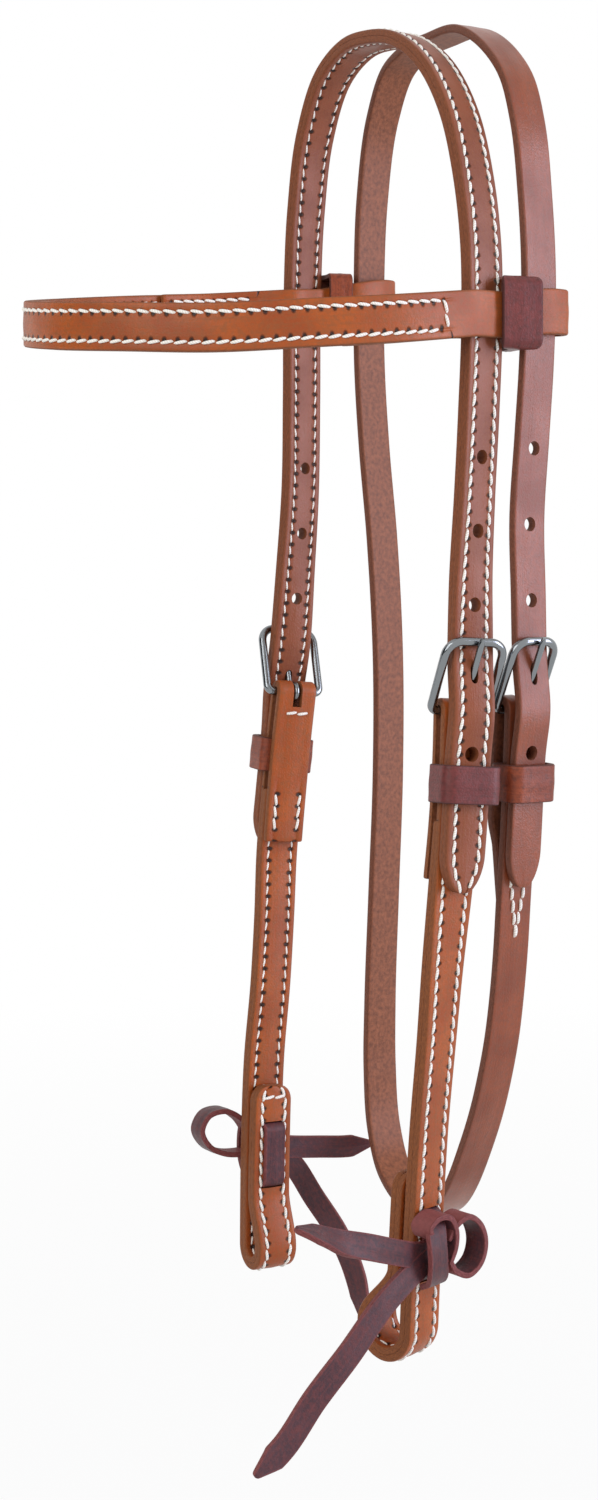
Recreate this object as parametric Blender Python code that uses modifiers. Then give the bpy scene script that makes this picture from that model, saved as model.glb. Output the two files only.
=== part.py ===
"""Western browband headstall in doubled and stitched harness leather.

The frame: +Z up, the horse looks along -Y, the near (left) side is +X.  The origin lies on the
underside of the crown, midway between its legs, where the poll carries it.
"""

import math

import bmesh
import bpy
import numpy as np
from mathutils import Matrix, Vector

# Straps, in metres
STRAP_WIDTH = 0.0159
THROAT_WIDTH = 0.0143
PLY = 0.0024
THROAT_PLY = 0.0032
SEAM_GAP = 0.0003

# How the headstall hangs
HALF_SPREAD = 0.066
DROP = 0.4645
BILLET_DROP = 0.301
THROAT_DROP = 0.435
THROAT_BILLET_DROP = 0.302
BROW_REACH = 0.137
BROW_DROP = 0.100

# Billets: the strap ends with punched holes and a pointed tip.  The tongue meets the middle of
# its hole a share of the billet's thickness outside the billet's middle.
HOLE_DIAMETER = 0.0048
HOLE_PITCH = 0.0254
THROAT_HOLE_PITCH = 0.0264
HOLES_BELOW_TONGUE = 1
HOLES_ABOVE_TONGUE = 3
TIP_LENGTH = 0.0125
TIP_BLUNT = 0.0026
TIP_ROUNDNESS = 1.8
HOLE_SEAT_SHARE = 0.15
BILLET_LIFT = 0.0022
LIFT_REACH = 0.012

# Buckles: a frame bent from one wire, and a tongue rolled round its bar
WIRE = 0.0031
TONGUE_WIRE = 0.0023
BUCKLE_SIDE_ROOM = 0.0015
THROAT_BUCKLE_SIDE_ROOM = 0.0006
BUCKLE_LENGTH = 0.0262
BUCKLE_TOP_CORNER = 0.0055
BUCKLE_BAR_CORNER = 0.0024
BAR_ABOVE_TIP = 0.0615
TONGUE_OVERHANG = 0.0012
RAIL_ROOM = 0.0007
EYE_ROOM = 0.00025
TONGUE_ROOM = 0.00035
FRAME_SWING_DEGREES = 2.0
TONGUE_SWING_DEGREES = 3.0

# Chapes: the strap ends that fold over the buckle bars
CHAPE_LENGTH = 0.0585
KEEPER_POCKET = 0.0380
THROAT_CHAPE_LENGTH = 0.084
THROAT_CHAPE_POINT = 0.034
THROAT_STEP_LENGTH = 0.080
THROAT_CLOSE_LENGTH = 0.012
SLOT_REACH = 0.0054
SLOT_SIDE_ROOM = 0.0007

# Keepers, and the wraps that cinch the browband loops
KEEPER_HEIGHT = 0.0130
KEEPER_LEATHER = 0.0022
KEEPER_DROP = 0.0250
KEEPER_SIDE_ROOM = 0.0009
KEEPER_SLACK = 0.0018
KEEPER_CORNER = 0.0032
WRAP_WIDTH = 0.0150
WRAP_LEATHER = 0.0020
WRAP_ROOM = 0.0005
WAIST_ROOM = 0.0010
WRAP_STAND = 0.0026
LOOP_ROOM = 0.0012
LOOP_LEAD = 0.0120
TURN_BACK = 0.040
LOOP_END_SHARE = 0.9
LOOP_TURN_DEGREES = (30, 60, 90, 120, 150)

# Bit loops, and the thongs that tie them shut.  The near loop stands wider open than the far one,
# and each bottom hangs a little above DROP.
NEAR_LOOP_RADIUS = 0.0094
FAR_LOOP_RADIUS = 0.0060
NEAR_LOOP_LIFT = 0.0026
FAR_LOOP_LIFT = 0.0048
BIT_LOOP_NECK = 0.0200
FOLD_GAP = 0.0012
NEAR_FOLD_RETURN = 0.0525
FAR_FOLD_RETURN = 0.0605
FOLD_ROUND = 0.0060
THONG_WIDTH = 0.0085
THONG = 0.0020
THONG_ROOM = 0.0005
SLOT_SPACING = 0.0220
NEAR_KNOT_ABOVE_BEND = 0.0293
FAR_KNOT_ABOVE_BEND = 0.0345
KNOT_SIZE = 0.0100
KNOT_LENGTH = 0.0136
KNOT_DEPTH = 0.0048
TAIL_REACH = 0.0600

# Mesh fineness: the longest step along a strap and the sharpest bend between two steps
STEP = 0.0130
FINE_STEP = 0.0024
BEND_STEP_DEGREES = 20.0
TWIST_STEP_DEGREES = 1.6
CUT_OVERRUN = 0.0020
DENSE_COUNT = 600
ROOT_STEPS = 12

# Worked out from the sizes above
PLY_SHIFT = (PLY + SEAM_GAP) / 2
DOUBLED = 2 * PLY + SEAM_GAP
POCKET = max(PLY, WIRE) + 2 * SEAM_GAP
EYE_RADIUS = (WIRE + TONGUE_WIRE) / 2 + EYE_ROOM
BUCKLE_PITCH = (STRAP_WIDTH + THROAT_WIDTH) / 2 + BUCKLE_SIDE_ROOM + THROAT_BUCKLE_SIDE_ROOM + 2 * WIRE
BIT_LOOPS = {
    "near_cheek": (NEAR_LOOP_RADIUS, NEAR_LOOP_LIFT, NEAR_FOLD_RETURN, NEAR_KNOT_ABOVE_BEND),
    "far_cheek": (FAR_LOOP_RADIUS, FAR_LOOP_LIFT, FAR_FOLD_RETURN, FAR_KNOT_ABOVE_BEND),
}

# Side line, far bit loop to near bit loop over the poll: side in shares of HALF_SPREAD, back in
# shares of BUCKLE_PITCH, height in shares of DROP, and the face's turn about the vertical in degrees.
# It is the middle of the billets; the cheeks lie at fixed steps inside it.
SIDE_SHARES = [
    (-0.960, -0.982, -1.010, 2), (-0.975, -0.959, -0.950, 2), (-0.992, -0.922, -0.885, 3),
    (-1.006, -0.855, -0.820, 4), (-1.012, -0.731, -0.758, 5), (-1.035, -0.626, -0.705, 4),
    (-1.052, -0.536, -0.650, 0), (-1.047, -0.437, -0.600, -3), (-1.035, -0.355, -0.555, -4),
    (-1.015, -0.282, -0.510, -3), (-0.997, -0.223, -0.465, -1), (-0.980, -0.181, -0.420, 6),
    (-0.974, -0.093, -0.350, 12), (-0.992, -0.039, -0.270, 12), (-1.005, -0.008, -0.190, 12),
    (-0.962, 0.000, -0.113, 12), (-0.852, 0.000, -0.053, 13), (-0.640, 0.000, -0.010, 14),
    (-0.338, 0.000, 0.0078, 14), (-0.079, 0.000, 0.0074, 14), (0.212, 0.000, -0.0015, 14),
    (0.506, 0.000, -0.026, 14), (0.761, 0.000, -0.070, 13), (0.905, 0.000, -0.122, 12),
    (0.978, -0.006, -0.172, 12), (1.000, -0.023, -0.225, 12), (0.985, -0.056, -0.300, 12),
    (0.973, -0.107, -0.362, 12), (0.980, -0.181, -0.420, 6), (0.997, -0.223, -0.465, -1),
    (1.015, -0.276, -0.510, -3), (1.035, -0.341, -0.555, -4), (1.047, -0.415, -0.600, -2),
    (1.052, -0.508, -0.650, 4), (1.035, -0.575, -0.705, 12), (1.009, -0.615, -0.758, 17),
    (1.002, -0.722, -0.820, 19), (0.988, -0.787, -0.885, 19), (0.970, -0.821, -0.950, 20),
    (0.955, -0.841, -1.010, 20),
]

# Throat line, a closed loop from under the throat up the near side, over the poll and down the
# far side: side in shares of HALF_SPREAD, back of BUCKLE_PITCH, height of THROAT_DROP, and turn
THROAT_SHARES = [
    (-0.212, 1.089, -1.000, 3), (0.061, 0.982, -0.987, 3), (0.315, 0.877, -0.958, 4),
    (0.480, 0.863, -0.924, 4), (0.610, 0.843, -0.892, 5), (0.715, 0.821, -0.857, 6),
    (0.795, 0.807, -0.822, 7), (0.855, 0.787, -0.787, 8), (0.905, 0.762, -0.750, 8),
    (0.948, 0.739, -0.705, 8), (0.975, 0.762, -0.650, 8), (0.990, 0.790, -0.590, 8),
    (0.995, 0.812, -0.530, 8), (0.988, 0.812, -0.467, 8), (0.985, 0.790, -0.400, 8),
    (0.985, 0.877, -0.336, 8), (0.985, 0.962, -0.274, 8), (0.970, 1.027, -0.206, 8),
    (0.935, 1.027, -0.140, 8), (0.861, 1.027, -0.078, 6), (0.760, 1.027, -0.041, 5),
    (0.590, 1.032, -0.014, 4), (0.292, 1.044, 0.011, 3), (-0.067, 1.086, 0.0145, 3),
    (-0.361, 1.128, 0.0126, 4), (-0.600, 1.171, 0.001, 5), (-0.794, 1.213, -0.034, 7),
    (-0.942, 1.241, -0.107, 9), (-0.988, 1.255, -0.180, 11), (-0.982, 1.252, -0.253, 11),
    (-0.939, 1.275, -0.330, 11), (-0.900, 1.368, -0.415, 11), (-0.868, 1.433, -0.525, 12),
    (-0.864, 1.424, -0.630, 12), (-0.872, 1.354, -0.740, 11), (-0.880, 1.295, -0.840, 9),
    (-0.876, 1.283, -0.895, 6), (-0.822, 1.275, -0.949, 4), (-0.690, 1.235, -0.980, 3),
    (-0.480, 1.176, -0.996, 3),
]

# Browband front, near side to far side: side in shares of HALF_SPREAD, forward in shares of
# BROW_REACH, height in shares of BROW_DROP; then the heights along each loop, front to rear
BROW_SHARES = [
    (1.152, -0.290, -1.085), (1.090, -0.500, -1.110), (0.900, -0.720, -1.130),
    (0.560, -0.890, -1.120), (0.130, -0.985, -1.100), (-0.210, -0.980, -1.075),
    (-0.580, -0.885, -1.040), (-0.890, -0.710, -1.000), (-1.075, -0.500, -0.965),
    (-1.130, -0.280, -0.940),
]
BROW_LOOP_SHARES = {
    "near": (-1.048, -1.042, -1.030, -1.020),
    "far": (-0.915, -0.900, -0.870, -0.850),
}

# Thongs of the bit loops from the middle of the knot, along the strap's width, up and outward:
# bow and band in shares of KNOT_SIZE; tails in shares of TAIL_REACH, with their lean in degrees
TIE_SHARES = {
    "near_cheek": {
        "bow": [
            (0.00, 0.36, 0.42), (0.34, 0.82, 0.50), (0.84, 1.00, 0.60), (1.30, 0.68, 0.72),
            (1.52, 0.00, 0.78), (1.26, -0.64, 0.76), (0.76, -0.92, 0.66), (0.28, -0.74, 0.50),
            (0.00, -0.32, 0.42),
        ],
        "band": [
            (-0.30, 1.00, 0.12), (-0.50, 0.92, 0.52), (-0.72, 0.42, 0.84), (-0.66, -0.42, 0.84),
            (-0.36, -1.02, 0.50), (-0.22, -1.25, 0.12),
        ],
        "upper_tail": [
            (0.03, -0.02, 0.02, 0), (-0.16, -0.01, 0.04, 0), (-0.39, 0.06, 0.05, 4),
            (-0.57, 0.12, 0.03, 14), (-0.74, 0.17, -0.02, 36), (-0.90, 0.24, -0.05, 60),
            (-1.04, 0.29, -0.08, 70),
        ],
        "lower_tail": [
            (0.03, -0.04, 0.02, 0), (-0.16, -0.07, 0.05, 5), (-0.46, -0.22, 0.04, 10),
            (-0.70, -0.44, 0.00, 14), (-0.92, -0.64, -0.05, 14), (-1.12, -0.86, -0.10, 12),
            (-1.29, -0.97, -0.14, 10),
        ],
    },
    "far_cheek": {
        "bow": [
            (0.05, 0.40, 0.42), (0.56, 1.15, 0.50), (1.24, 1.50, 0.60), (1.85, 1.35, 0.72),
            (2.14, 0.80, 0.76), (1.80, 0.15, 0.72), (1.22, -0.14, 0.62), (0.56, -0.20, 0.50),
            (0.05, -0.15, 0.42),
        ],
        "band": [
            (0.05, 1.00, 0.12), (0.00, 0.85, 0.52), (-0.05, 0.25, 0.80), (-0.10, -0.55, 0.80),
            (-0.10, -1.00, 0.50), (-0.05, -1.12, 0.12),
        ],
        "upper_tail": [
            (0.03, 0.02, 0.02, 0), (-0.12, 0.00, 0.04, 0), (-0.29, -0.03, 0.05, 0),
            (-0.51, -0.05, 0.03, 0), (-0.67, -0.06, 0.00, 0), (-0.86, -0.05, -0.04, 0),
        ],
        "lower_tail": [
            (0.03, 0.00, 0.02, 0), (-0.12, -0.01, 0.05, 5), (-0.29, -0.13, 0.06, 10),
            (-0.46, -0.38, 0.04, 14), (-0.62, -0.65, -0.02, 14), (-0.71, -0.92, -0.08, 12),
            (-0.74, -1.18, -0.12, 10),
        ],
    },
}


# Scene, materials and small helpers

def clear_scene():
    """Start from an empty file."""
    for leftover in list(bpy.data.objects):
        bpy.data.objects.remove(leftover)


def new_collection(name):
    collection = bpy.data.collections.new(name)
    bpy.context.scene.collection.children.link(collection)
    return collection


def material(name, colour, roughness, metallic=0.0):
    finish = bpy.data.materials.new(name)
    finish.use_nodes = True
    shader = finish.node_tree.nodes["Principled BSDF"]
    shader.inputs["Base Color"].default_value = (*colour, 1.0)
    shader.inputs["Roughness"].default_value = roughness
    shader.inputs["Metallic"].default_value = metallic
    finish.diffuse_color = (*colour, 1.0)
    return finish


def add_object(name, mesh, finish=None, cutter=False):
    """Link a mesh as a part, or as a hidden cutter."""
    piece = bpy.data.objects.new(name, mesh)
    (CUTTERS if cutter else PARTS).objects.link(piece)
    if cutter:
        piece.hide_render = True
        piece.display_type = "WIRE"
    else:
        mesh.materials.append(finish)
    return piece


def unit(vectors):
    return vectors / np.linalg.norm(vectors, axis=-1, keepdims=True)


def smooth(rows, per_span=24):
    """A smooth curve through the rows: cubic Hermite spans whose slopes come from neighbours."""
    rows = np.asarray(rows, float)
    chord = np.linalg.norm(np.diff(rows[:, :3], axis=0), axis=1)
    knots = np.concatenate([[0], np.cumsum(chord)])
    slopes = np.gradient(rows, knots, axis=0)
    share = np.linspace(0, 1, per_span, endpoint=False)[:, None]
    spans = []
    for i in range(len(rows) - 1):
        h = knots[i + 1] - knots[i]
        spans.append(
            (2 * share**3 - 3 * share**2 + 1) * rows[i]
            + (share**3 - 2 * share**2 + share) * h * slopes[i]
            + (3 * share**2 - 2 * share**3) * rows[i + 1]
            + (share**3 - share**2) * h * slopes[i + 1]
        )
    return np.vstack(spans + [rows[-1:]])


def lengths_along(points):
    steps = np.linalg.norm(np.diff(points[:, :3], axis=0), axis=1)
    return np.concatenate([[0], np.cumsum(steps)])


def angles_between(vectors):
    turned = np.arccos(np.clip((vectors[1:] * vectors[:-1]).sum(1), -1, 1))
    return np.concatenate([[0], turned])


def stations(points, across, fine=()):
    """Distances along a line: few where it runs straight, more where it bends or twists, and a
    chosen step inside each (start, end, step) zone."""
    along = lengths_along(points)
    moved = np.concatenate([[True], np.diff(along) > 0])
    points, across, along = points[moved], across[moved], along[moved]
    tangent = unit(np.gradient(points[:, :3], along, axis=0))
    turned = angles_between(tangent) / math.radians(BEND_STEP_DEGREES)
    twisted = angles_between(across) / math.radians(TWIST_STEP_DEGREES)
    step = np.full(len(along), STEP)
    for start, end, fine_step in fine:
        step[(along >= start) & (along <= end)] = fine_step
    cost = np.cumsum(np.gradient(along) / step + turned + twisted)
    cost -= cost[0]
    wanted = np.linspace(0, cost[-1], max(2, math.ceil(cost[-1]) + 1))
    return np.interp(wanted, cost, along)


def read_rows(rows, along, wanted):
    """The rows of a dense line at the wanted distances."""
    return np.column_stack([np.interp(wanted, along, column) for column in rows.T])


def thinned(rows, fine=()):
    return read_rows(rows, lengths_along(rows), stations(rows[:, :3], rows[:, 3:], fine))


def width_direction(turn_degrees):
    """Across a hanging strap, front to rear, when its face is turned about the vertical."""
    turn = np.radians(turn_degrees)
    return np.stack([-np.sin(turn), np.cos(turn), np.zeros_like(turn)], axis=-1)


def square_up(centre, across):
    """Unit width and outward normal, square to the run of the strap."""
    tangent = unit(np.gradient(centre, lengths_along(centre), axis=0))
    normal = unit(np.cross(tangent, across))
    return np.cross(normal, tangent), normal


def strap(name, centre, across, width, thickness, finish, closed=False, cutter=False):
    """A strap: its middle surface, two points a station, thickened and with eased edges."""
    if closed:
        tangent = unit(np.roll(centre, -1, axis=0) - np.roll(centre, 1, axis=0))
        across = np.cross(unit(np.cross(tangent, across)), tangent)
    else:
        across, _ = square_up(centre, across)
    half = np.broadcast_to(np.asarray(width) / 2, len(centre))[:, None]
    points = np.stack([centre - across * half, centre + across * half], axis=1).reshape(-1, 3)
    count = len(centre)
    spans = count if closed else count - 1
    faces = []
    for i in range(spans):
        j = (i + 1) % count
        faces.append((2 * i, 2 * j, 2 * j + 1, 2 * i + 1))
    mesh = bpy.data.meshes.new(name)
    mesh.from_pydata(points.tolist(), [], faces)
    piece = add_object(name, mesh, finish, cutter)
    wall = piece.modifiers.new("thickness", "SOLIDIFY")
    wall.thickness = thickness
    wall.offset = 0
    wall.use_even_offset = True
    return piece


def end_widths(centre, width, start=None, end=None):
    """Strap width at each station.  An end is (length, blunt width, roundness): 1 tapers
    straight, 2 is half an ellipse."""
    along = lengths_along(centre)
    widths = np.full(len(centre), width)
    for shape, distance in ((start, along), (end, along[-1] - along)):
        if shape:
            length, blunt, roundness = shape
            share = np.clip(1 - distance / length, 0, 1)
            widths = np.minimum(widths, blunt + (width - blunt) * (1 - share**roundness) ** (1 / roundness))
    return widths


def boolean(piece, tool, operation="DIFFERENCE"):
    cut = piece.modifiers.new(tool.name, "BOOLEAN")
    cut.operation = operation
    cut.object = tool
    cut.solver = "EXACT"


def rod(name, start, end, radius, sides=16):
    """A round cutter from one point to another."""
    run = Vector(end) - Vector(start)
    work = bmesh.new()
    size = {"radius1": radius, "radius2": radius, "depth": run.length}
    bmesh.ops.create_cone(work, cap_ends=True, segments=sides, **size)
    turn = run.to_track_quat("Z", "Y").to_matrix().to_4x4()
    work.transform(Matrix.Translation((Vector(start) + Vector(end)) / 2) @ turn)
    mesh = bpy.data.meshes.new(name)
    work.to_mesh(mesh)
    work.free()
    return add_object(name, mesh, cutter=True)


def swept_rod(name, runs, radius, sides=12):
    """A cutter that holds a rod in each of its places: the convex hull of their end rings."""
    work = bmesh.new()
    for start, end in runs:
        turn = (end - start).to_track_quat("Z", "Y")
        for middle in (start, end):
            for angle in np.linspace(0, 2 * math.pi, sides, endpoint=False):
                spoke = Vector((math.cos(angle), math.sin(angle), 0)) * radius
                work.verts.new(middle + turn @ spoke)
    hull = bmesh.ops.convex_hull(work, input=work.verts)
    inside = [item for item in hull["geom_interior"] if isinstance(item, bmesh.types.BMVert)]
    bmesh.ops.delete(work, geom=inside, context="VERTS")
    bmesh.ops.recalc_face_normals(work, faces=work.faces)
    mesh = bpy.data.meshes.new(name)
    work.to_mesh(mesh)
    work.free()
    return add_object(name, mesh, cutter=True)


def block(name, centre, axes, sizes):
    """A box cutter with its own axes."""
    work = bmesh.new()
    bmesh.ops.create_cube(work, size=1)
    turn = Matrix([Vector(axis) for axis in axes]).transposed().to_4x4()
    work.transform(Matrix.Translation(Vector(centre)) @ turn @ Matrix.Diagonal((*sizes, 1)))
    if turn.determinant() < 0:
        bmesh.ops.reverse_faces(work, faces=work.faces)
    mesh = bpy.data.meshes.new(name)
    work.to_mesh(mesh)
    work.free()
    return add_object(name, mesh, cutter=True)


def tube(name, points, radius, finish, closed=False, resolution=2):
    """A round wire through the points, made a mesh with its caps welded."""
    curve = bpy.data.curves.new(name, "CURVE")
    curve.dimensions = "3D"
    curve.bevel_depth = radius
    curve.bevel_resolution = resolution
    curve.use_fill_caps = not closed
    line = curve.splines.new("POLY")
    line.points.add(len(points) - 1)
    for point, place in zip(line.points, points):
        point.co = (*place, 1)
    line.use_cyclic_u = closed
    guide = bpy.data.objects.new(name + "_wire", curve)
    bpy.context.scene.collection.objects.link(guide)
    bpy.context.view_layer.update()
    mesh = bpy.data.meshes.new_from_object(guide.evaluated_get(bpy.context.evaluated_depsgraph_get()))
    bpy.data.objects.remove(guide)
    work = bmesh.new()
    work.from_mesh(mesh)
    bmesh.ops.remove_doubles(work, verts=work.verts, dist=radius / 100)
    bmesh.ops.recalc_face_normals(work, faces=work.faces)
    work.to_mesh(mesh)
    work.free()
    mesh.shade_smooth()
    return add_object(name, mesh, finish)


# Lines that the straps follow

class Line:
    """A dense line with the strap's width direction and outward normal at each station."""

    def __init__(self, rows):
        self.centre = rows[:, :3]
        self.along = lengths_along(rows)
        self.across, self.out = square_up(self.centre, width_direction(rows[:, 3]))

    def read(self, values, along):
        return np.stack([np.interp(along, self.along, values[:, k]) for k in range(3)], axis=-1)

    def place(self, along, out=0.0, across=0.0):
        """World points a distance along the line, stepped outwards and across."""
        along = np.asarray(along, float)
        wide = unit(self.read(self.across, along))
        outward = unit(self.read(self.out, along))
        shift = np.asarray(out, float)[..., None] * outward + np.asarray(across, float)[..., None] * wide
        return self.read(self.centre, along) + shift

    def wide(self, along):
        return unit(self.read(self.across, np.asarray(along, float)))

    def outward(self, along):
        return unit(self.read(self.out, np.asarray(along, float)))

    def at_height(self, height, near):
        """The distance along at which the near or the far leg reaches a height."""
        top = np.argmax(self.centre[:, 2])
        leg = slice(top, None) if near else slice(top, None, -1)
        drop = -self.centre[leg, 2]
        lowest = np.argmax(drop) + 1
        return float(np.interp(-height, drop[:lowest], self.along[leg][:lowest]))


def side_line():
    return Line(smooth(np.array(SIDE_SHARES) * [HALF_SPREAD, BUCKLE_PITCH, DROP, 1]))


def throat_line():
    """The closed throat line, turned round to run up the far side and down the near side."""
    rows = np.array(THROAT_SHARES) * [HALF_SPREAD, BUCKLE_PITCH, THROAT_DROP, 1]
    lap = 2
    per_span = 24
    dense = smooth(np.vstack([rows[-lap:], rows, rows[: lap + 1]]), per_span)
    return Line(dense[lap * per_span : (lap + len(rows)) * per_span + 1][::-1])


def lift(along, bar_along):
    """How far a billet rises off the cheek as it passes the buckle bar."""
    return BILLET_LIFT * np.exp(-(((along - bar_along) / LIFT_REACH) ** 2))


class Buckled:
    """One buckled strap end: where its bar, tongue, billet tip and chape lie on its line."""

    def __init__(self, name, line, tip_along, down, billet, ply, width, side_room, pitch):
        self.name = name
        self.line = line
        self.down = down
        self.billet = billet
        self.ply = ply
        self.width = width
        self.side_room = side_room
        self.pitch = pitch
        self.tip = tip_along
        self.bar = tip_along - down * BAR_ABOVE_TIP
        self.strand = -(billet / 2 + SEAM_GAP + ply / 2)
        self.fold = (POCKET + ply) / 2
        self.bar_out = self.strand - self.fold
        self.bar_place = Vector(line.place(self.bar, self.bar_out))
        self.bar_axis = Vector(line.wide(self.bar))
        self.outward = Vector(line.outward(self.bar))
        rise = self.outward.cross(self.bar_axis)
        self.rise = rise if rise.z > 0 else -rise
        reach = billet / 2 + RAIL_ROOM + WIRE / 2 - self.bar_out
        rail_along = self.bar - down * math.sqrt(BUCKLE_LENGTH**2 - reach**2)
        bow = (Vector(line.place(rail_along)) - Vector(line.place(self.bar))).dot(self.outward)
        lean = math.asin((reach + bow) / BUCKLE_LENGTH)
        self.up = (self.rise * math.cos(lean) + self.outward * math.sin(lean)).normalized()
        self.face = (self.outward * math.cos(lean) - self.rise * math.sin(lean)).normalized()
        self.hole_rise = self.tongue_rise(lean)

    def tongue_rise(self, lean):
        """How far above the bar the tongue meets its hole, on the billet that bows over the bar."""
        level = HOLE_SEAT_SHARE * self.billet - self.bar_out - EYE_RADIUS / math.cos(lean)
        rise = level / math.tan(lean)
        for _ in range(ROOT_STEPS):
            rise = (level + lift(rise, 0.0)) / math.tan(lean)
        return rise

    def below(self, distance):
        """The place along the line a distance below the bar."""
        return self.bar + self.down * distance


# Buckles, keepers and chapes

def rounded_loop(half, low, high, low_radius, high_radius):
    """A closed outline with a round corner at each end of its low and its high side."""
    points = []
    corners = [
        (half - low_radius, low + low_radius, low_radius, -90),
        (half - high_radius, high - high_radius, high_radius, 0),
        (high_radius - half, high - high_radius, high_radius, 90),
        (low_radius - half, low + low_radius, low_radius, 180),
    ]
    for across, up, radius, start in corners:
        for angle in np.radians(start + np.linspace(0, 90, 4)):
            points.append((across + radius * math.cos(angle), up + radius * math.sin(angle)))
    return np.array(points)


def hang_on_bar(piece, buckled):
    """Put a piece, modelled about the origin, onto the buckle's bar, on which it turns."""
    turn = Matrix((buckled.up.cross(buckled.face), buckled.up, buckled.face)).transposed()
    piece.matrix_world = Matrix.Translation(buckled.bar_place) @ turn.to_4x4()


def buckle_frame(buckled):
    half = buckled.width / 2 + buckled.side_room + WIRE / 2
    outline = rounded_loop(half, 0, BUCKLE_LENGTH, BUCKLE_BAR_CORNER, BUCKLE_TOP_CORNER)
    points = [(across, up, 0) for across, up in outline]
    hang_on_bar(tube(buckled.name + "_buckle_frame", points, WIRE / 2, STEEL, closed=True), buckled)


def buckle_tongue(buckled):
    """Three quarters of an eye round the bar, then straight out over the top rail."""
    angles = np.radians(np.linspace(0, 270, 10))
    points = [(0, EYE_RADIUS * math.cos(angle), -EYE_RADIUS * math.sin(angle)) for angle in angles]
    points.append((0, BUCKLE_LENGTH / 2, EYE_RADIUS))
    points.append((0, BUCKLE_LENGTH + WIRE / 2 + TONGUE_OVERHANG, EYE_RADIUS))
    hang_on_bar(tube(buckled.name + "_buckle_tongue", points, TONGUE_WIRE / 2, STEEL), buckled)


def tongue_slot(buckled):
    """The cutter that opens the fold of the chape for the tongue's eye."""
    width = TONGUE_WIRE + 2 * SLOT_SIDE_ROOM
    depth = 2 * buckled.fold + buckled.ply + 2 * CUT_OVERRUN
    height = SLOT_REACH + buckled.fold + buckled.ply
    middle = buckled.bar_place + buckled.rise * (height / 2 - SLOT_REACH)
    axes = (buckled.bar_axis, buckled.outward, buckled.rise)
    return block(buckled.name + "_tongue_slot", middle, axes, (width, depth, height))


def billet_holes(buckled):
    """Cutters for one billet: the hole that the tongue leans through, and the free holes."""
    swing = math.radians(FRAME_SWING_DEGREES + TONGUE_SWING_DEGREES)
    runs = []
    for angle in (0, swing):
        turn = Matrix.Rotation(angle, 3, buckled.up.cross(buckled.face))
        start = buckled.bar_place + turn @ (buckled.face + buckled.up) * EYE_RADIUS
        runs.append((start, start + turn @ buckled.up * BUCKLE_LENGTH))
    holes = [swept_rod(buckled.name + "_tongue_hole", runs, TONGUE_WIRE / 2 + TONGUE_ROOM)]
    for count in range(-HOLES_ABOVE_TONGUE, HOLES_BELOW_TONGUE + 1):
        if count:
            along = buckled.below(count * buckled.pitch - buckled.hole_rise)
            reach = buckled.billet / 2 + BILLET_LIFT + CUT_OVERRUN
            start = buckled.line.place(along, -reach)
            end = buckled.line.place(along, reach)
            holes.append(rod(f"{buckled.name}_hole_{count}", start, end, HOLE_DIAMETER / 2))
    return holes


def keeper(buckled):
    """A closed leather loop round the billet and the chape's outer strand."""
    along = buckled.below(KEEPER_DROP)
    half = buckled.width / 2 + KEEPER_SIDE_ROOM + KEEPER_LEATHER / 2
    outer = buckled.billet / 2 + KEEPER_SLACK + KEEPER_LEATHER / 2
    inner_corner = KEEPER_LEATHER / 2 + SEAM_GAP
    ring = rounded_loop(half, buckled.bar_out, outer, inner_corner, KEEPER_CORNER)
    centre = buckled.line.place(np.full(len(ring), along), ring[:, 1], ring[:, 0])
    run = unit(buckled.line.place(along + STEP) - buckled.line.place(along - STEP))
    across = np.tile(run, (len(ring), 1))
    strap(buckled.name + "_keeper", centre, across, KEEPER_HEIGHT, KEEPER_LEATHER, DARK_LEATHER, closed=True)


# Paths drawn in a line's own plane, (distance along, step outwards)

def straight(start, end):
    return np.linspace(start, end, DENSE_COUNT)


def arc(centre, radius, start, end):
    """Points of an arc, its angles in degrees."""
    angles = np.radians(np.linspace(start, end, DENSE_COUNT // 10))
    return np.stack([centre[0] + radius * np.cos(angles), centre[1] + radius * np.sin(angles)], axis=1)


def ease(share):
    """Nought to one with level ends."""
    share = np.clip(share, 0, 1)
    return 3 * share**2 - 2 * share**3


def chape_path(buckled, length):
    """From the turned-back end up the inner side and round the bar to the outer strand."""
    back = buckled.bar_out - buckled.fold
    inner = straight((buckled.below(length), back), (buckled.bar, back))
    bend = arc((buckled.bar, buckled.bar_out), buckled.fold, -90, -90 - 180 * buckled.down)
    return np.vstack([inner[:-1], bend])


def shifted(path, shift):
    """A path stepped sideways, to its left."""
    run = unit(np.gradient(path, lengths_along(np.pad(path, ((0, 0), (0, 1)))), axis=0))
    return path + shift * np.stack([-run[:, 1], run[:, 0]], axis=1)


def drawn(line, path):
    """World rows of a path: the middle of the strap and its width direction."""
    return np.hstack([line.place(path[:, 0], path[:, 1]), line.wide(path[:, 0])])


# The headstall's leather

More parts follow.
